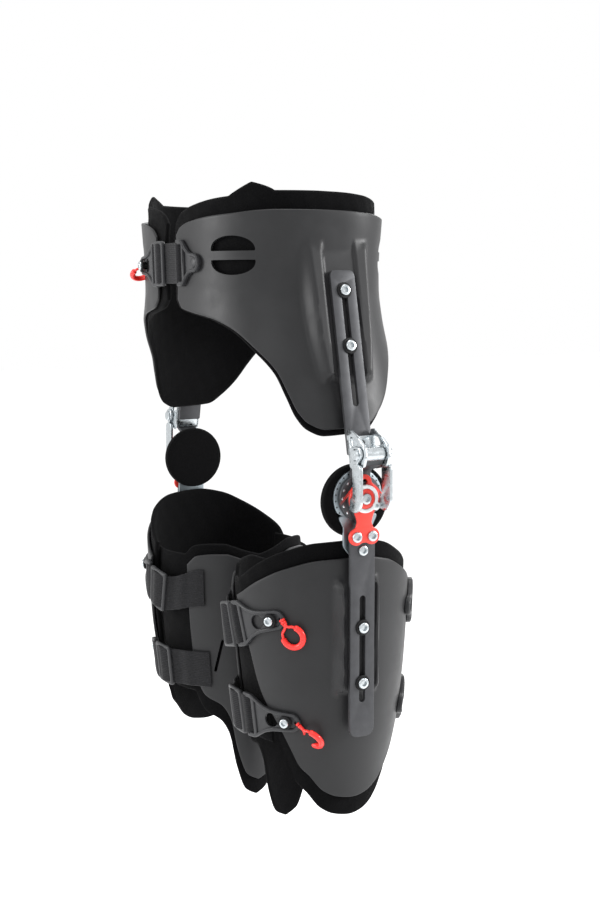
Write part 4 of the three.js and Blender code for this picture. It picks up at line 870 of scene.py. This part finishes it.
def scale_plate():
    tail = PIVOT_Z - 52
    lower = rounded(
        [(-21, PIVOT_Z - 16), (-15, PIVOT_Z - 27), (-15, PIVOT_Z - 44), (-9, tail), (9, tail),
         (15, PIVOT_Z - 44), (15, PIVOT_Z - 27), (21, PIVOT_Z - 16)], [3, 6, 6, 6, 6, 6, 6, 3],
    )
    outline = arc(0, PIVOT_Z, SCALE_RADIUS, -32, 212, 60) + lower
    return side_plate([outline, circle(0, PIVOT_Z, 3.4)], SCALE_X, 2.5, 0.5)


def scale_marks():
    """Small dark stop marks round the rim of the scale plate."""
    marks = []
    for i in range(11):
        for way in (1, -1):
            a = math.radians(90 + way * (12 + 14 * i))
            if 90 + 12 + 14 * i > 215:
                continue
            place = (SCALE_X + 2.5, 23.2 * math.cos(a), PIVOT_Z + 23.2 * math.sin(a))
            marks.append(turned([(0, 0.12), (0.75, 0.1), (0.8, -0.1)], place, (1, 0, 0), 12))
    return together(*marks)


FELT = [(0, 0), (28, 0), (31.5, 0.8), (33, 3), (33, 7), (31.8, 9.2), (29, 10), (0, 10)]


def felt_pad():
    profile = smooth_path(FELT, 4)
    return turned([tuple(row) for row in profile], (SCALE_X - 10.3, 0, PIVOT_Z - 4), (1, 0, 0), 72)


LOBE_Y, LOBE_Z = 8, PIVOT_Z - 34


def cover_outline():
    """The red plate: an eye above, a round middle and two lobes below."""
    half = (
        arc(0, PIVOT_Z + 15, 6.8, 90, 20, 12)
        + rounded([(7.5, PIVOT_Z + 14), (13, PIVOT_Z + 8.5)], 0, 2)[1:-1]
        + arc(0, PIVOT_Z, 15.5, 34, -48, 20)
        + [(8.2, PIVOT_Z - 17), (7.2, PIVOT_Z - 21), (8.5, PIVOT_Z - 25.6)]
        + arc(LOBE_Y, LOBE_Z, 7.6, 72, -128, 24)
        + [(1.2, LOBE_Z - 5.4)]
    )
    return half + [(-y, z) for y, z in half[::-1][:-1]]


def cover_plate():
    eye = circle(0, PIVOT_Z + 14.6, 3)
    return side_plate([cover_outline(), eye, circle(0, PIVOT_Z, 3.4)], RED_PLATE_X, 2.5, 0.5)


def dial_parts():
    centre = (DIAL_X, 0, PIVOT_Z)
    ring = [(9.4, 0.9), (9.4, 2.2), (9.8, 2.5), (12.1, 2.5), (12.6, 2.0), (12.6, 0)]
    ring = [(0, 0.9)] + ring + [(0, 0)]
    tab = side_plate([arc(10.6, PIVOT_Z - 7, 3.8, 0, 360, 33)[:-1]], DIAL_X, 2.3, 0.4)
    inlay = [(0, 0), (9.0, 0), (9.0, 0.7), (8.7, 0.9), (5.6, 0.9), (5.4, 0.6), (0, 0.6)]
    return {
        "ring": together(turned(ring, centre, (1, 0, 0), 64), tab),
        "inlay": turned(inlay, (DIAL_X + 0.95, 0, PIVOT_Z), (1, 0, 0), 64),
        "screw": together(
            screw_head((DIAL_X + 1.5, 0, PIVOT_Z), (1, 0, 0), 1.0),
            screw_head((DIAL_X + 2.2, 10.6, PIVOT_Z - 7), (1, 0, 0), 0.38),
        ),
    }


def hip_joint(name, side):
    thigh, hip_link = f"thigh_{name}", f"hip_link_{name}"
    replaced = [f"abduction_bracket_{name}"]
    make(f"bracket_{name}_finish", bracket(), "zinc_plate", "pelvis", replaced, side=side)
    make(f"lever_{name}_finish", lever(), "zinc_plate", f"lever_{name}", [f"release_lever_{name}"], side=side)
    make(f"link_{name}_finish", link_plates(), "anodised_bar", hip_link, [f"joint_link_{name}"], side=side)
    barrel = [(4.3, -9.6), (6.0, -9.6), (6.4, -9.2), (6.4, 9.2), (6.0, 9.6), (4.3, 9.6)]
    make(f"link_barrel_{name}", turned(barrel, AXLE, (0, 1, 0), 48), "zinc_plate", hip_link, side=side)
    make(f"stop_pins_{name}", stop_pins(), "zinc_plate", hip_link, side=side)
    make(f"scale_{name}_finish", scale_plate(), "scale_metal", thigh, [f"scale_plate_{name}"], side=side)
    make(f"scale_marks_{name}", scale_marks(), "black_rubber", thigh, side=side)
    pad = make(f"felt_pad_{name}_soft", felt_pad(), "liner_fleece", thigh, [f"felt_pad_{name}"], side=side)
    make(f"cover_{name}_finish", cover_plate(), "red_lacquer", thigh, [f"cover_plate_{name}"], side=side)
    face = RED_PLATE_X + 2.5
    screws = [screw_head((face, y, LOBE_Z), (1, 0, 0), 0.98) for y in (-LOBE_Y, LOBE_Y)]
    screws.append(screw_head((LOWER_BAR_X + BAR_THICKNESS, 0, PIVOT_Z - 47), (1, 0, 0), 0.95))
    make(f"cover_screws_{name}", together(*screws), "zinc_plate", thigh, side=side)
    parts = dial_parts()
    make(f"dial_{name}_ring", parts["ring"], "dial_white", thigh, [f"dial_{name}"], side=side)
    make(f"dial_{name}_inlay", parts["inlay"], "red_lacquer", thigh, side=side)
    make(f"dial_{name}_screw", parts["screw"], "zinc_plate", thigh, side=side)


# Thigh cuffs
LATERAL_REACH = table(
    "height front rear",
    (0, 45, 42),
    (0.17, 55, 50),
    (0.4, 68, 60),
    (0.67, 75, 66),
    (1, 85, 70),
)
lateral_front = line_through(LATERAL_REACH, "height", "front")
lateral_rear = line_through(LATERAL_REACH, "height", "rear")
LATERAL_EDGE = table(
    "across top low",
    (-1, 0.18, 0.81),
    (-0.95, 0.165, 0.85),
    (-0.76, 0.1, 0.9),
    (-0.55, 0.045, 0.96),
    (-0.3, 0.008, 0.99),
    (0, 0.0, 1.0),
    (0.25, 0.02, 0.99),
    (0.5, 0.07, 0.96),
    (0.75, 0.13, 0.9),
    (0.93, 0.18, 0.84),
    (1, 0.22, 0.8),
)
lateral_top = line_through(LATERAL_EDGE, "across", "top")
lateral_low = line_through(LATERAL_EDGE, "across", "low")
CUFF_LENGTH = CUFF_TOP - CUFF_BOTTOM


def lateral_panel(point_at, middle, thickness, edge, rise, border, reach, wave=0):
    """The cuff's side panel. Its ends slant, so its grid runs by share of width and height."""
    across = spaced(0, 1, edge / 240, edge / 240, 140)[0]
    up = spaced(0, 1, edge / 230, edge / 230, 76)[0]
    side = (across * 2 - 1)[:, None]
    top = CUFF_TOP - lateral_top(side) * CUFF_LENGTH + rise
    low = CUFF_TOP - lateral_low(side) * CUFF_LENGTH - border
    z = low + (top - low) * up[None, :]
    widest = np.where(side < 0, lateral_front(up)[None, :], lateral_rear(up)[None, :]) + reach
    turn = side * widest
    surface = point_at(turn, z, middle)
    depth = np.clip(border_distance(surface) / edge, 0, 1)
    full = np.sqrt(np.clip(1 - (1 - depth) ** 2, 0, 1)) * thickness / 2
    ripple = wave * 0.5 * (np.sin(turn * 0.4 + z * 0.17) + np.sin(turn * 0.21 - z * 0.3 + 1)) * depth
    return closed_grid(point_at(turn, z, middle + ripple + full), point_at(turn, z, middle + ripple - full))


def border_distance(surface):
    """How far each point of a grid lies from the grid's nearest side, along its rows and columns."""
    along = np.linalg.norm(np.diff(surface, axis=0), axis=-1)
    upward = np.linalg.norm(np.diff(surface, axis=1), axis=-1)
    left = np.concatenate([np.zeros((1, surface.shape[1])), np.cumsum(along, axis=0)])
    low = np.concatenate([np.zeros((surface.shape[0], 1)), np.cumsum(upward, axis=1)], axis=1)
    return np.minimum(np.minimum(left, left[-1] - left), np.minimum(low, low[:, -1:] - low))


LATERAL_LINER_OUTER = -SHELL_WALL - LAYER_GAP
MEDIAL_LINER_OUTER = LATERAL_LINER_OUTER - LINER_WALL - LAYER_GAP
MEDIAL_SHELL_OUTER = MEDIAL_LINER_OUTER + LAYER_GAP + SHELL_WALL
MEDIAL_SHELL_REACH = 58
MEDIAL_LINER_REACH = 112
MEDIAL_LENGTH = MEDIAL_TOP - MEDIAL_BOTTOM
MEDIAL_EDGE = table(
    "across top low",
    (0, 0.05, 1.0),
    (0.2, 0.03, 0.97),
    (0.36, 0.01, 0.86),
    (0.47, 0.0, 0.72),
    (0.6, 0.0, 0.66),
    (0.85, 0.01, 0.62),
    (1, 0.05, 0.54),
)
medial_top = line_through(MEDIAL_EDGE, "across", "top")
medial_low = line_through(MEDIAL_EDGE, "across", "low")


def medial_turned(turn, z, offset):
    return thigh_point(180 + turn, z, offset)


def medial_panel(reach, middle, thickness, edge, rise, border, wave=0):
    def share(turn):
        return np.minimum(1, np.abs(turn) / (MEDIAL_SHELL_REACH + (4 if rise else 0)))

    return panel(
        medial_turned, (-reach, reach), lambda t: MEDIAL_TOP - medial_top(share(t)) * MEDIAL_LENGTH + rise,
        lambda t: MEDIAL_TOP - medial_low(share(t)) * MEDIAL_LENGTH - border,
        middle, thickness, edge, 110, 50, wave,
    )


def cuff(name, side):
    body = f"thigh_{name}"
    make(
        f"lateral_shell_{name}_skin",
        lateral_panel(cuff_shell_point, -SHELL_WALL / 2, SHELL_WALL, 1.4, 0, 0, 0),
        "shell_plastic", body, [f"lateral_cuff_shell_{name}"], side=side,
    )
    lateral = make(
        f"lateral_pad_{name}",
        lateral_panel(thigh_point, LATERAL_LINER_OUTER - LINER_WALL / 2, LINER_WALL, 2.6, 15, 19, 3, 0.3),
        "liner_fleece", body, [f"lateral_cuff_liner_{name}"], side=side,
    )
    medial_shell = make(
        f"medial_shell_{name}_skin",
        medial_panel(MEDIAL_SHELL_REACH, MEDIAL_SHELL_OUTER - SHELL_WALL / 2, SHELL_WALL, 1.4, 0, 0),
        "shell_plastic", body, [f"medial_cuff_shell_{name}"], side=side,
    )
    pierce(medial_shell, medial_slit(side))
    medial = make(
        f"medial_pad_{name}",
        medial_panel(
            MEDIAL_LINER_REACH, MEDIAL_LINER_OUTER - MEDIAL_LINER_WALL / 2, MEDIAL_LINER_WALL,
            2.1, 10, 18, 0.2,
        ),
        "liner_fleece", body, [f"medial_cuff_liner_{name}"], side=side,
    )


def medial_slit(side):
    """A slanting slot through the medial shell, where a strap can be moved to."""
    foot, out = thigh_point(-145, -378, 0)[0], thigh_point(-145, -378, 1)[0]
    out = Vector(out - foot).normalized()
    across = Vector((0, 0, 1)).cross(out)
    lean = math.radians(14)
    along = Vector((0, 0, 1)) * math.cos(lean) - across * math.sin(lean)
    shape = framed(
        plate([slot_outline(0, -18, 18, 3)], 24, 0.01), Vector(foot) - out * 20, along.cross(out), along,
    )
    return mirrored(shape) if side < 0 else shape


# Fittings: hooks with a keyhole, slide loops and riveted anchors, flat and then bent onto the form
HALF_LOOP = 21.5
HOOK_WIDTH = line_through(
    table("u half", (-46, 21.5), (-37, 21.2), (-30, 17.5), (-22, 13), (-12, 10.2), (0, 9.2), (5, 8.9)),
    "u", "half",
)
BEND_STEPS = np.arange(-90, 40, 2.5) + 0.13


def mirrored_outline(half):
    return half + [(u, -v) for u, v in half[::-1]]


def hook_outline():
    return [(u, float(HOOK_WIDTH(u))) for u in np.linspace(-46, 5, 30)]


def hook_shape():
    """The hook plate: a strap bar at the wide end, a keyhole and a hole for the cord at the tip."""
    tip = [(5 + 9 * math.sin(a), 8.9 * math.cos(a)) for a in np.linspace(0.15, math.pi / 2 - 0.001, 12)]
    outer = rounded(mirrored_outline(hook_outline() + tip), 1.0, 3)
    strap_slot = rounded([(-42, 17.2), (-42, -17.2), (-36.5, -17.2), (-36.5, 17.2)], 1.5)
    keyhole = arc(-15, 0, 6.6, 30, 330, 28) + [(-6, -3.6)] + arc(0, 0, 3.6, -90, 90, 10) + [(-6, 3.6)]
    cord_hole = circle(10, 0, 1.9, 20)
    base = plate([outer, strap_slot, keyhole, cord_hole], 2.2, 0.5, BEND_STEPS)
    inner_half = [(u, float(HOOK_WIDTH(u)) - 3.4) for u in np.linspace(-32.5, 5, 24)]
    inner_tip = [(5 + 5 * math.sin(a), 5.5 * math.cos(a)) for a in np.linspace(0.2, math.pi / 2 - 0.001, 8)]
    inner = mirrored_outline(inner_half + inner_tip)
    rim = plate([outer, strap_slot, inner], 3.9, 1.2, BEND_STEPS)
    return together(base, rim)


def slide_shape(left, right):
    """A rectangular slide loop."""
    outer = rounded([(right, HALF_LOOP), (left, HALF_LOOP), (left, -HALF_LOOP), (right, -HALF_LOOP)], 4)
    rod, end = 4.2, 4.0
    inner = rounded(
        [(right - rod, HALF_LOOP - end), (left + rod, HALF_LOOP - end), (left + rod, -HALF_LOOP + end),
         (right - rod, -HALF_LOOP + end)], 1.5,
    )
    return plate([outer, inner], 4.4, 1.7, BEND_STEPS)


ANCHOR_WIDTH = line_through(
    table("u half", (0, 8.6), (5, 9.2), (11, 13), (17, 19.5), (20, 21.3), (27, 21.5)), "u", "half",
)


def anchor_shape():
    """A riveted plate with a bar for the strap. The rivet is at u = 0."""
    half = [(u, float(ANCHOR_WIDTH(u))) for u in np.linspace(0, 27, 24)]
    tip = [(-8.6 * math.sin(a), 8.6 * math.cos(a)) for a in np.linspace(math.pi / 2 - 0.001, 0.1, 12)]
    outer = rounded(mirrored_outline(tip + half), 1.0, 3)
    strap_slot = rounded([(17.5, 17.0), (17.5, -17.0), (23, -17.0), (23, 17.0)], 1.5)
    inner = mirrored_outline(
        [(-5.4 * math.sin(a), 5.4 * math.cos(a)) for a in np.linspace(math.pi / 2 - 0.001, 0.1, 8)]
        + [(u, float(ANCHOR_WIDTH(u)) - 3.2) for u in np.linspace(0, 14, 12)]
    )
    base = plate([outer, strap_slot], 2.2, 0.5, BEND_STEPS)
    rim = plate([outer, strap_slot, inner], 4.8, 1.5, BEND_STEPS)
    return together(base, rim)


def rivet(foot, out, size=1.0):
    rows = [(0, 1.5), (3.0, 1.3), (4.4, 0.8), (4.8, 0), (4.8, -0.6)]
    return turned([(r * size, d * size) for r, d in rows], foot, out, 32)


def ribbon(bend, stations, thickness=1.8, width=STRAP_WIDTH):
    """Webbing through stations of u and w, bent onto the form. It has rounded, slightly raised selvedges."""
    path = smooth_path([(u, 0, w) for u, w in stations], 12)
    half = width / 2
    v = np.array([-1, -0.985, -0.95, -0.9, -0.45, 0, 0.45, 0.9, 0.95, 0.985, 1]) * half
    full = np.array([0.15, 0.7, 1.08, 1.0, 1, 1, 1, 1.0, 1.08, 0.7, 0.15]) * thickness / 2
    u, w = path[:, 0][:, None], path[:, 2][:, None]
    ahead = np.gradient(path, axis=0)
    ahead /= np.linalg.norm(ahead, axis=1)[:, None]
    nu, nw = -ahead[:, 2][:, None], ahead[:, 0][:, None]
    flip = np.where(nw < 0, -1, 1)
    grids = []
    for way in (1, -1):
        across, out = u + way * flip * nu * full, w + way * flip * nw * full
        grid = np.stack(np.broadcast_arrays(across, v[None, :], out), axis=-1)
        grids.append(bend(grid))
    return closed_grid(*grids)


# Red pull loops
def pull_shape(bend, start, angle, tilt, neck, radius, lift):
    """A thin cord from the hook's tip that forms a ring, with a thick sleeve over most of it."""
    a, t = math.radians(angle), math.radians(tilt)
    ahead = np.array([math.cos(a), math.sin(a), 0])
    across = np.array([-math.sin(a) * math.cos(t), math.cos(a) * math.cos(t), math.sin(t)])
    foot = np.array([*start, lift])
    centre = foot + ahead * (neck + radius)

    def on_ring(theta):
        r = math.radians(theta)
        return centre + radius * (math.cos(r) * ahead + math.sin(r) * across)

    sleeve = bend(np.array([on_ring(x) for x in np.linspace(-100, 128, 40)]))
    left = [foot, foot + ahead * neck * 0.5 + across * 1.4, on_ring(-165), on_ring(-132), on_ring(-95)]
    right = [foot, foot + ahead * neck * 0.5 - across * 1.4, on_ring(168), on_ring(148), on_ring(122)]
    thin = [tube(bend(smooth_path(path, 8)), 1.25, 12) for path in (left, right)]
    wraps = []
    for shift in (0.0, 2.3):
        middle = foot + ahead * (shift - 0.6)
        angles = np.linspace(0, 2 * math.pi, 20, endpoint=False)
        around = [middle + 1.9 * (math.cos(x) * across + math.sin(x) * np.array([0, 0, 1])) for x in angles]
        wraps.append(tube(bend(np.array(around)), 1.15, 10, closed=True))
    return together(tube(sleeve, 2.7, 20), *thin, *wraps)


def stud(name, foot, out, body, side):
    """A stud through the shell, with a black collar under its screw."""
    out = Vector(out)
    collar = [(3.1, -1), (3.1, 3.8), (6.2, 4.3), (6.6, 4.9), (6.2, 6.1), (5.0, 6.6), (0, 6.6)]
    make(f"{name}_collar", turned(collar, foot, out, 40), "black_rubber", body, side=side)
    make(f"{name}_screw", screw_head(Vector(foot) + out * 6.4, out, 0.86), "zinc_plate", body, side=side)


def normal_at(point_at, turn, z):
    foot, end = point_at(turn, z, 0)[0], point_at(turn, z, 1)[0]
    return Vector(foot), Vector(end - foot).normalized()


FRONT_STUDS = [
    {"name": "upper", "turn": -56, "z": -297, "drop": 9, "lean": 13, "pull": (-59, 12, 7)},
    {"name": "lower", "turn": -50, "z": -392, "drop": 1, "lean": 1.5, "pull": (-45, 50, 8)},
]
SLIDE_START, SLIDE_END = -50, -79


def front_closure(name, side, spec):
    body, label = f"thigh_{name}", f"{spec['name']}_{name}"
    bend = onto(thigh_point, spec["turn"], spec["z"], 1, 0.4)

    lean = math.radians(spec["lean"])

    def slanted(points):
        """The hook is turned about its stud. Its wide end sits lower, and the strap comes back to level."""
        points = np.array(points, float)
        u, v = points[..., 0], points[..., 1]
        turned_u = np.maximum(u, SLIDE_END) * math.cos(lean) + np.minimum(u - SLIDE_END, 0)
        level = fade(-u, -SLIDE_END, -SLIDE_END + 44)
        sunk = np.maximum(u, SLIDE_END) * math.sin(lean) * (1 - level) - level * spec["drop"]
        points[..., 0] = turned_u - v * math.sin(lean) * (1 - level)
        points[..., 1] = v * (math.cos(lean) * (1 - level) + level) + sunk
        return bend(points)

    hook, slide = bent(hook_shape(), slanted), bent(slide_shape(SLIDE_END, SLIDE_START), slanted)
    make(f"hook_{label}", hook, "buckle_plastic", body, [f"front_hook_{label}"], side=side)
    make(f"slide_{label}", slide, "buckle_plastic", body, side=side)
    strap_low = MEDIAL_SHELL_OUTER + 1.9
    stations = [
        (-39.5, 1.0), (-44, 3.6), (-52.5, 2.0), (-59, 3.9), (-64.5, 5.2), (-70, 3.9), (-76.5, 1.0),
        (-81, -0.6), (-88, -3.0), (-98, strap_low + 1.5), (-107, strap_low), (-120, strap_low),
        (-126, strap_low),
    ]
    make(
        f"strap_front_{label}", ribbon(slanted, stations), "webbing", body, [f"front_strap_{label}"],
        side=side,
    )
    angle, tilt, neck = spec["pull"]
    pull = pull_shape(bend, (12, 1.5 if spec["drop"] > 5 else -0.5), angle, tilt, neck, 9.8, 3.4)
    make(f"pull_{label}", pull, "pull_cord", body, [f"pull_loop_{label}"], side=side)
    foot, out = normal_at(thigh_point, spec["turn"], spec["z"])
    stud(f"front_stud_{label}", foot, out, body, side)


REAR_RIVETS = [
    {"name": "upper", "turn": 48.6, "z": -297},
    {"name": "lower", "turn": 51.3, "z": -394},
]


def rear_strap(name, side, spec):
    body, label = f"thigh_{name}", f"{spec['name']}_{name}"
    bend = onto(thigh_point, spec["turn"], spec["z"], 1, 0.4)
    make(f"rear_anchor_{label}", bent(anchor_shape(), bend), "buckle_plastic", body, side=side)
    foot, out = normal_at(thigh_point, spec["turn"], spec["z"])
    make(f"rear_rivet_{label}", rivet(foot + out * 2.4, out), "buckle_plastic", body, side=side)
    strap_low = MEDIAL_SHELL_OUTER + 1.9
    stations = [
        (20.5, -0.2), (25, 4.4), (31, 2.4), (40, -1.0), (52, strap_low + 2), (66, strap_low + 0.3),
        (90, strap_low), (110, strap_low), (128, strap_low),
    ]
    make(f"strap_rear_{label}", ribbon(bend, stations), "webbing", body, [f"rear_strap_{label}"], side=side)


# Waist closures
CLOSURE_Z = 24


def front_waist_closure():
    anchor = onto_waist(59, CLOSURE_Z, -1, 0.4)
    shape = mirrored(anchor_shape())
    make("waist_anchor", bent(shape, anchor), "buckle_plastic", "pelvis", ["front_closure_anchor"])
    foot = anchor(np.array([[0, 0, 2.2]]))[0]
    ahead = anchor(np.array([[0, 0, 3.2]]))[0]
    make("waist_rivet", rivet(foot, Vector(ahead - foot)), "buckle_plastic", "pelvis")
    hook_bend = onto_waist(-62, 23, -1, 0.4)
    hook = mirrored(hook_shape())
    make("waist_hook", bent(hook, hook_bend), "buckle_plastic", "pelvis", ["front_closure_hook"])
    slide = mirrored(slide_shape(-66, -45))
    slide_bend = onto_waist(-64, CLOSURE_Z, -1, 0.6)
    make("waist_slide", bent(slide, slide_bend), "buckle_plastic", "pelvis")
    strap_bend = onto_waist(0, CLOSURE_Z, -1, 0.4)
    stations = [
        (39, -0.4), (34.5, 4.2), (28, 2.2), (14, 0.4), (4.5, 0.0), (-1, 1.0), (-6, 4.4), (-9, 5.2),
        (-12, 4.4),
        (-17, 1.4), (-22, 3.8),
    ]
    make("waist_strap", ribbon(strap_bend, stations), "webbing", "pelvis", ["front_closure_strap"])
    foot, out = normal_at(pelvis_point, -70, 23)
    foot.x, out.x = -foot.x, -out.x
    stud("waist_stud", foot, out, "pelvis", 1)
    pull = pull_shape(hook_bend, (-11, 0), 215, 75, 3, 9.0, 3.4)
    make("waist_pull", pull, "pull_cord", "pelvis", ["front_closure_pull"])


def back_waist_closure():
    for label, way in (("left", 1), ("right", -1)):
        bend = onto_waist(56 * way, CLOSURE_Z, 1, 0.4)
        shape = mirrored(anchor_shape()) if way > 0 else anchor_shape()
        make(f"back_anchor_{label}", bent(shape, bend), "buckle_plastic", "pelvis")
        foot, ahead = bend(np.array([[0, 0, 2.2], [0, 0, 3.2]]))
        make(f"back_rivet_{label}", rivet(foot, Vector(ahead - foot)), "buckle_plastic", "pelvis")
    bend = onto_waist(0, CLOSURE_Z, 1, 0.4)
    half = [(36, -0.4), (31.5, 4.2), (25, 2.2), (12, 0.6)]
    stations = [*half, (0, 0.6), *[(-u, w) for u, w in half[::-1]]]
    make("back_strap", ribbon(bend, stations), "webbing", "pelvis", ["back_closure"])


# Floor, light and camera
def studio():
    bpy.ops.mesh.primitive_plane_add(size=30, location=(0, 0, -1.0))
    floor = bpy.context.object
    floor.name = "floor"
    color = (0.86, 0.86, 0.86)
    pale = material("floor_pale", color, 0.9, Emission_Color=(1, 1, 1, 1), Emission_Strength=0.16)
    tint(pale, noise(pale, 2, 2), color, 0.01)
    floor.data.materials.append(pale)
    scene = bpy.context.scene
    world = bpy.data.worlds.new("studio")
    scene.world = world
    world.use_nodes = True
    world.node_tree.nodes["Background"].inputs["Color"].default_value = (1, 1, 1, 1)
    world.node_tree.nodes["Background"].inputs["Strength"].default_value = 1.0
    for name, place, size, power in (
        ("key", (1.5, -2.1, 1.5), 1.4, 12),
        ("side", (1.3, 2.1, 0.5), 0.9, 70),
        ("top", (0.3, 0.1, 2.4), 1.4, 34),
        ("front", (-0.9, -2.3, 0.3), 0.9, 34),
        ("back", (-1.6, 1.9, 1.2), 1.4, 26),
    ):
        light = bpy.data.lights.new(name, "AREA")
        light.size, light.energy = size, power
        lamp = bpy.data.objects.new(name, light)
        lamp.location = place
        lamp.rotation_euler = (Vector((0, 0, -0.2)) - Vector(place)).to_track_quat("-Z", "Y").to_euler()
        scene.collection.objects.link(lamp)
    scene.view_settings.view_transform = "Standard"


FOCAL, FRAME_MIDDLE, EYE_LEVEL = 1339, (300, 450), (264, 289)


def camera():
    azimuth, distance = math.radians(63), 1.342
    yaw, pitch = (math.atan((m - e) / FOCAL) for m, e in zip(FRAME_MIDDLE, EYE_LEVEL))
    lens = bpy.data.cameras.new("camera")
    lens.sensor_width = 36
    lens.lens = 36 * FOCAL / 900
    eye = bpy.data.objects.new("camera", lens)
    bpy.context.scene.collection.objects.link(eye)
    back = Vector((math.sin(azimuth), -math.cos(azimuth), 0))
    right = Vector((math.cos(azimuth), math.sin(azimuth), 0))
    level = -back * math.cos(yaw) + right * math.sin(yaw)
    ahead = level * math.cos(pitch) - Vector((0, 0, 1)) * math.sin(pitch)
    eye.location = back * distance
    eye.rotation_euler = ahead.to_track_quat("-Z", "Y").to_euler()
    lens.clip_end = 100
    bpy.context.scene.camera = eye


camera()
studio()
for side_name, side_sign in SIDES.items():
    pelvic_half(side_name, side_sign)
    bars(side_name, side_sign)
    hip_joint(side_name, side_sign)
    cuff(side_name, side_sign)
    for front in FRONT_STUDS:
        front_closure(side_name, side_sign, front)
    for rear in REAR_RIVETS:
        rear_strap(side_name, side_sign, rear)
front_waist_closure()
back_waist_closure()
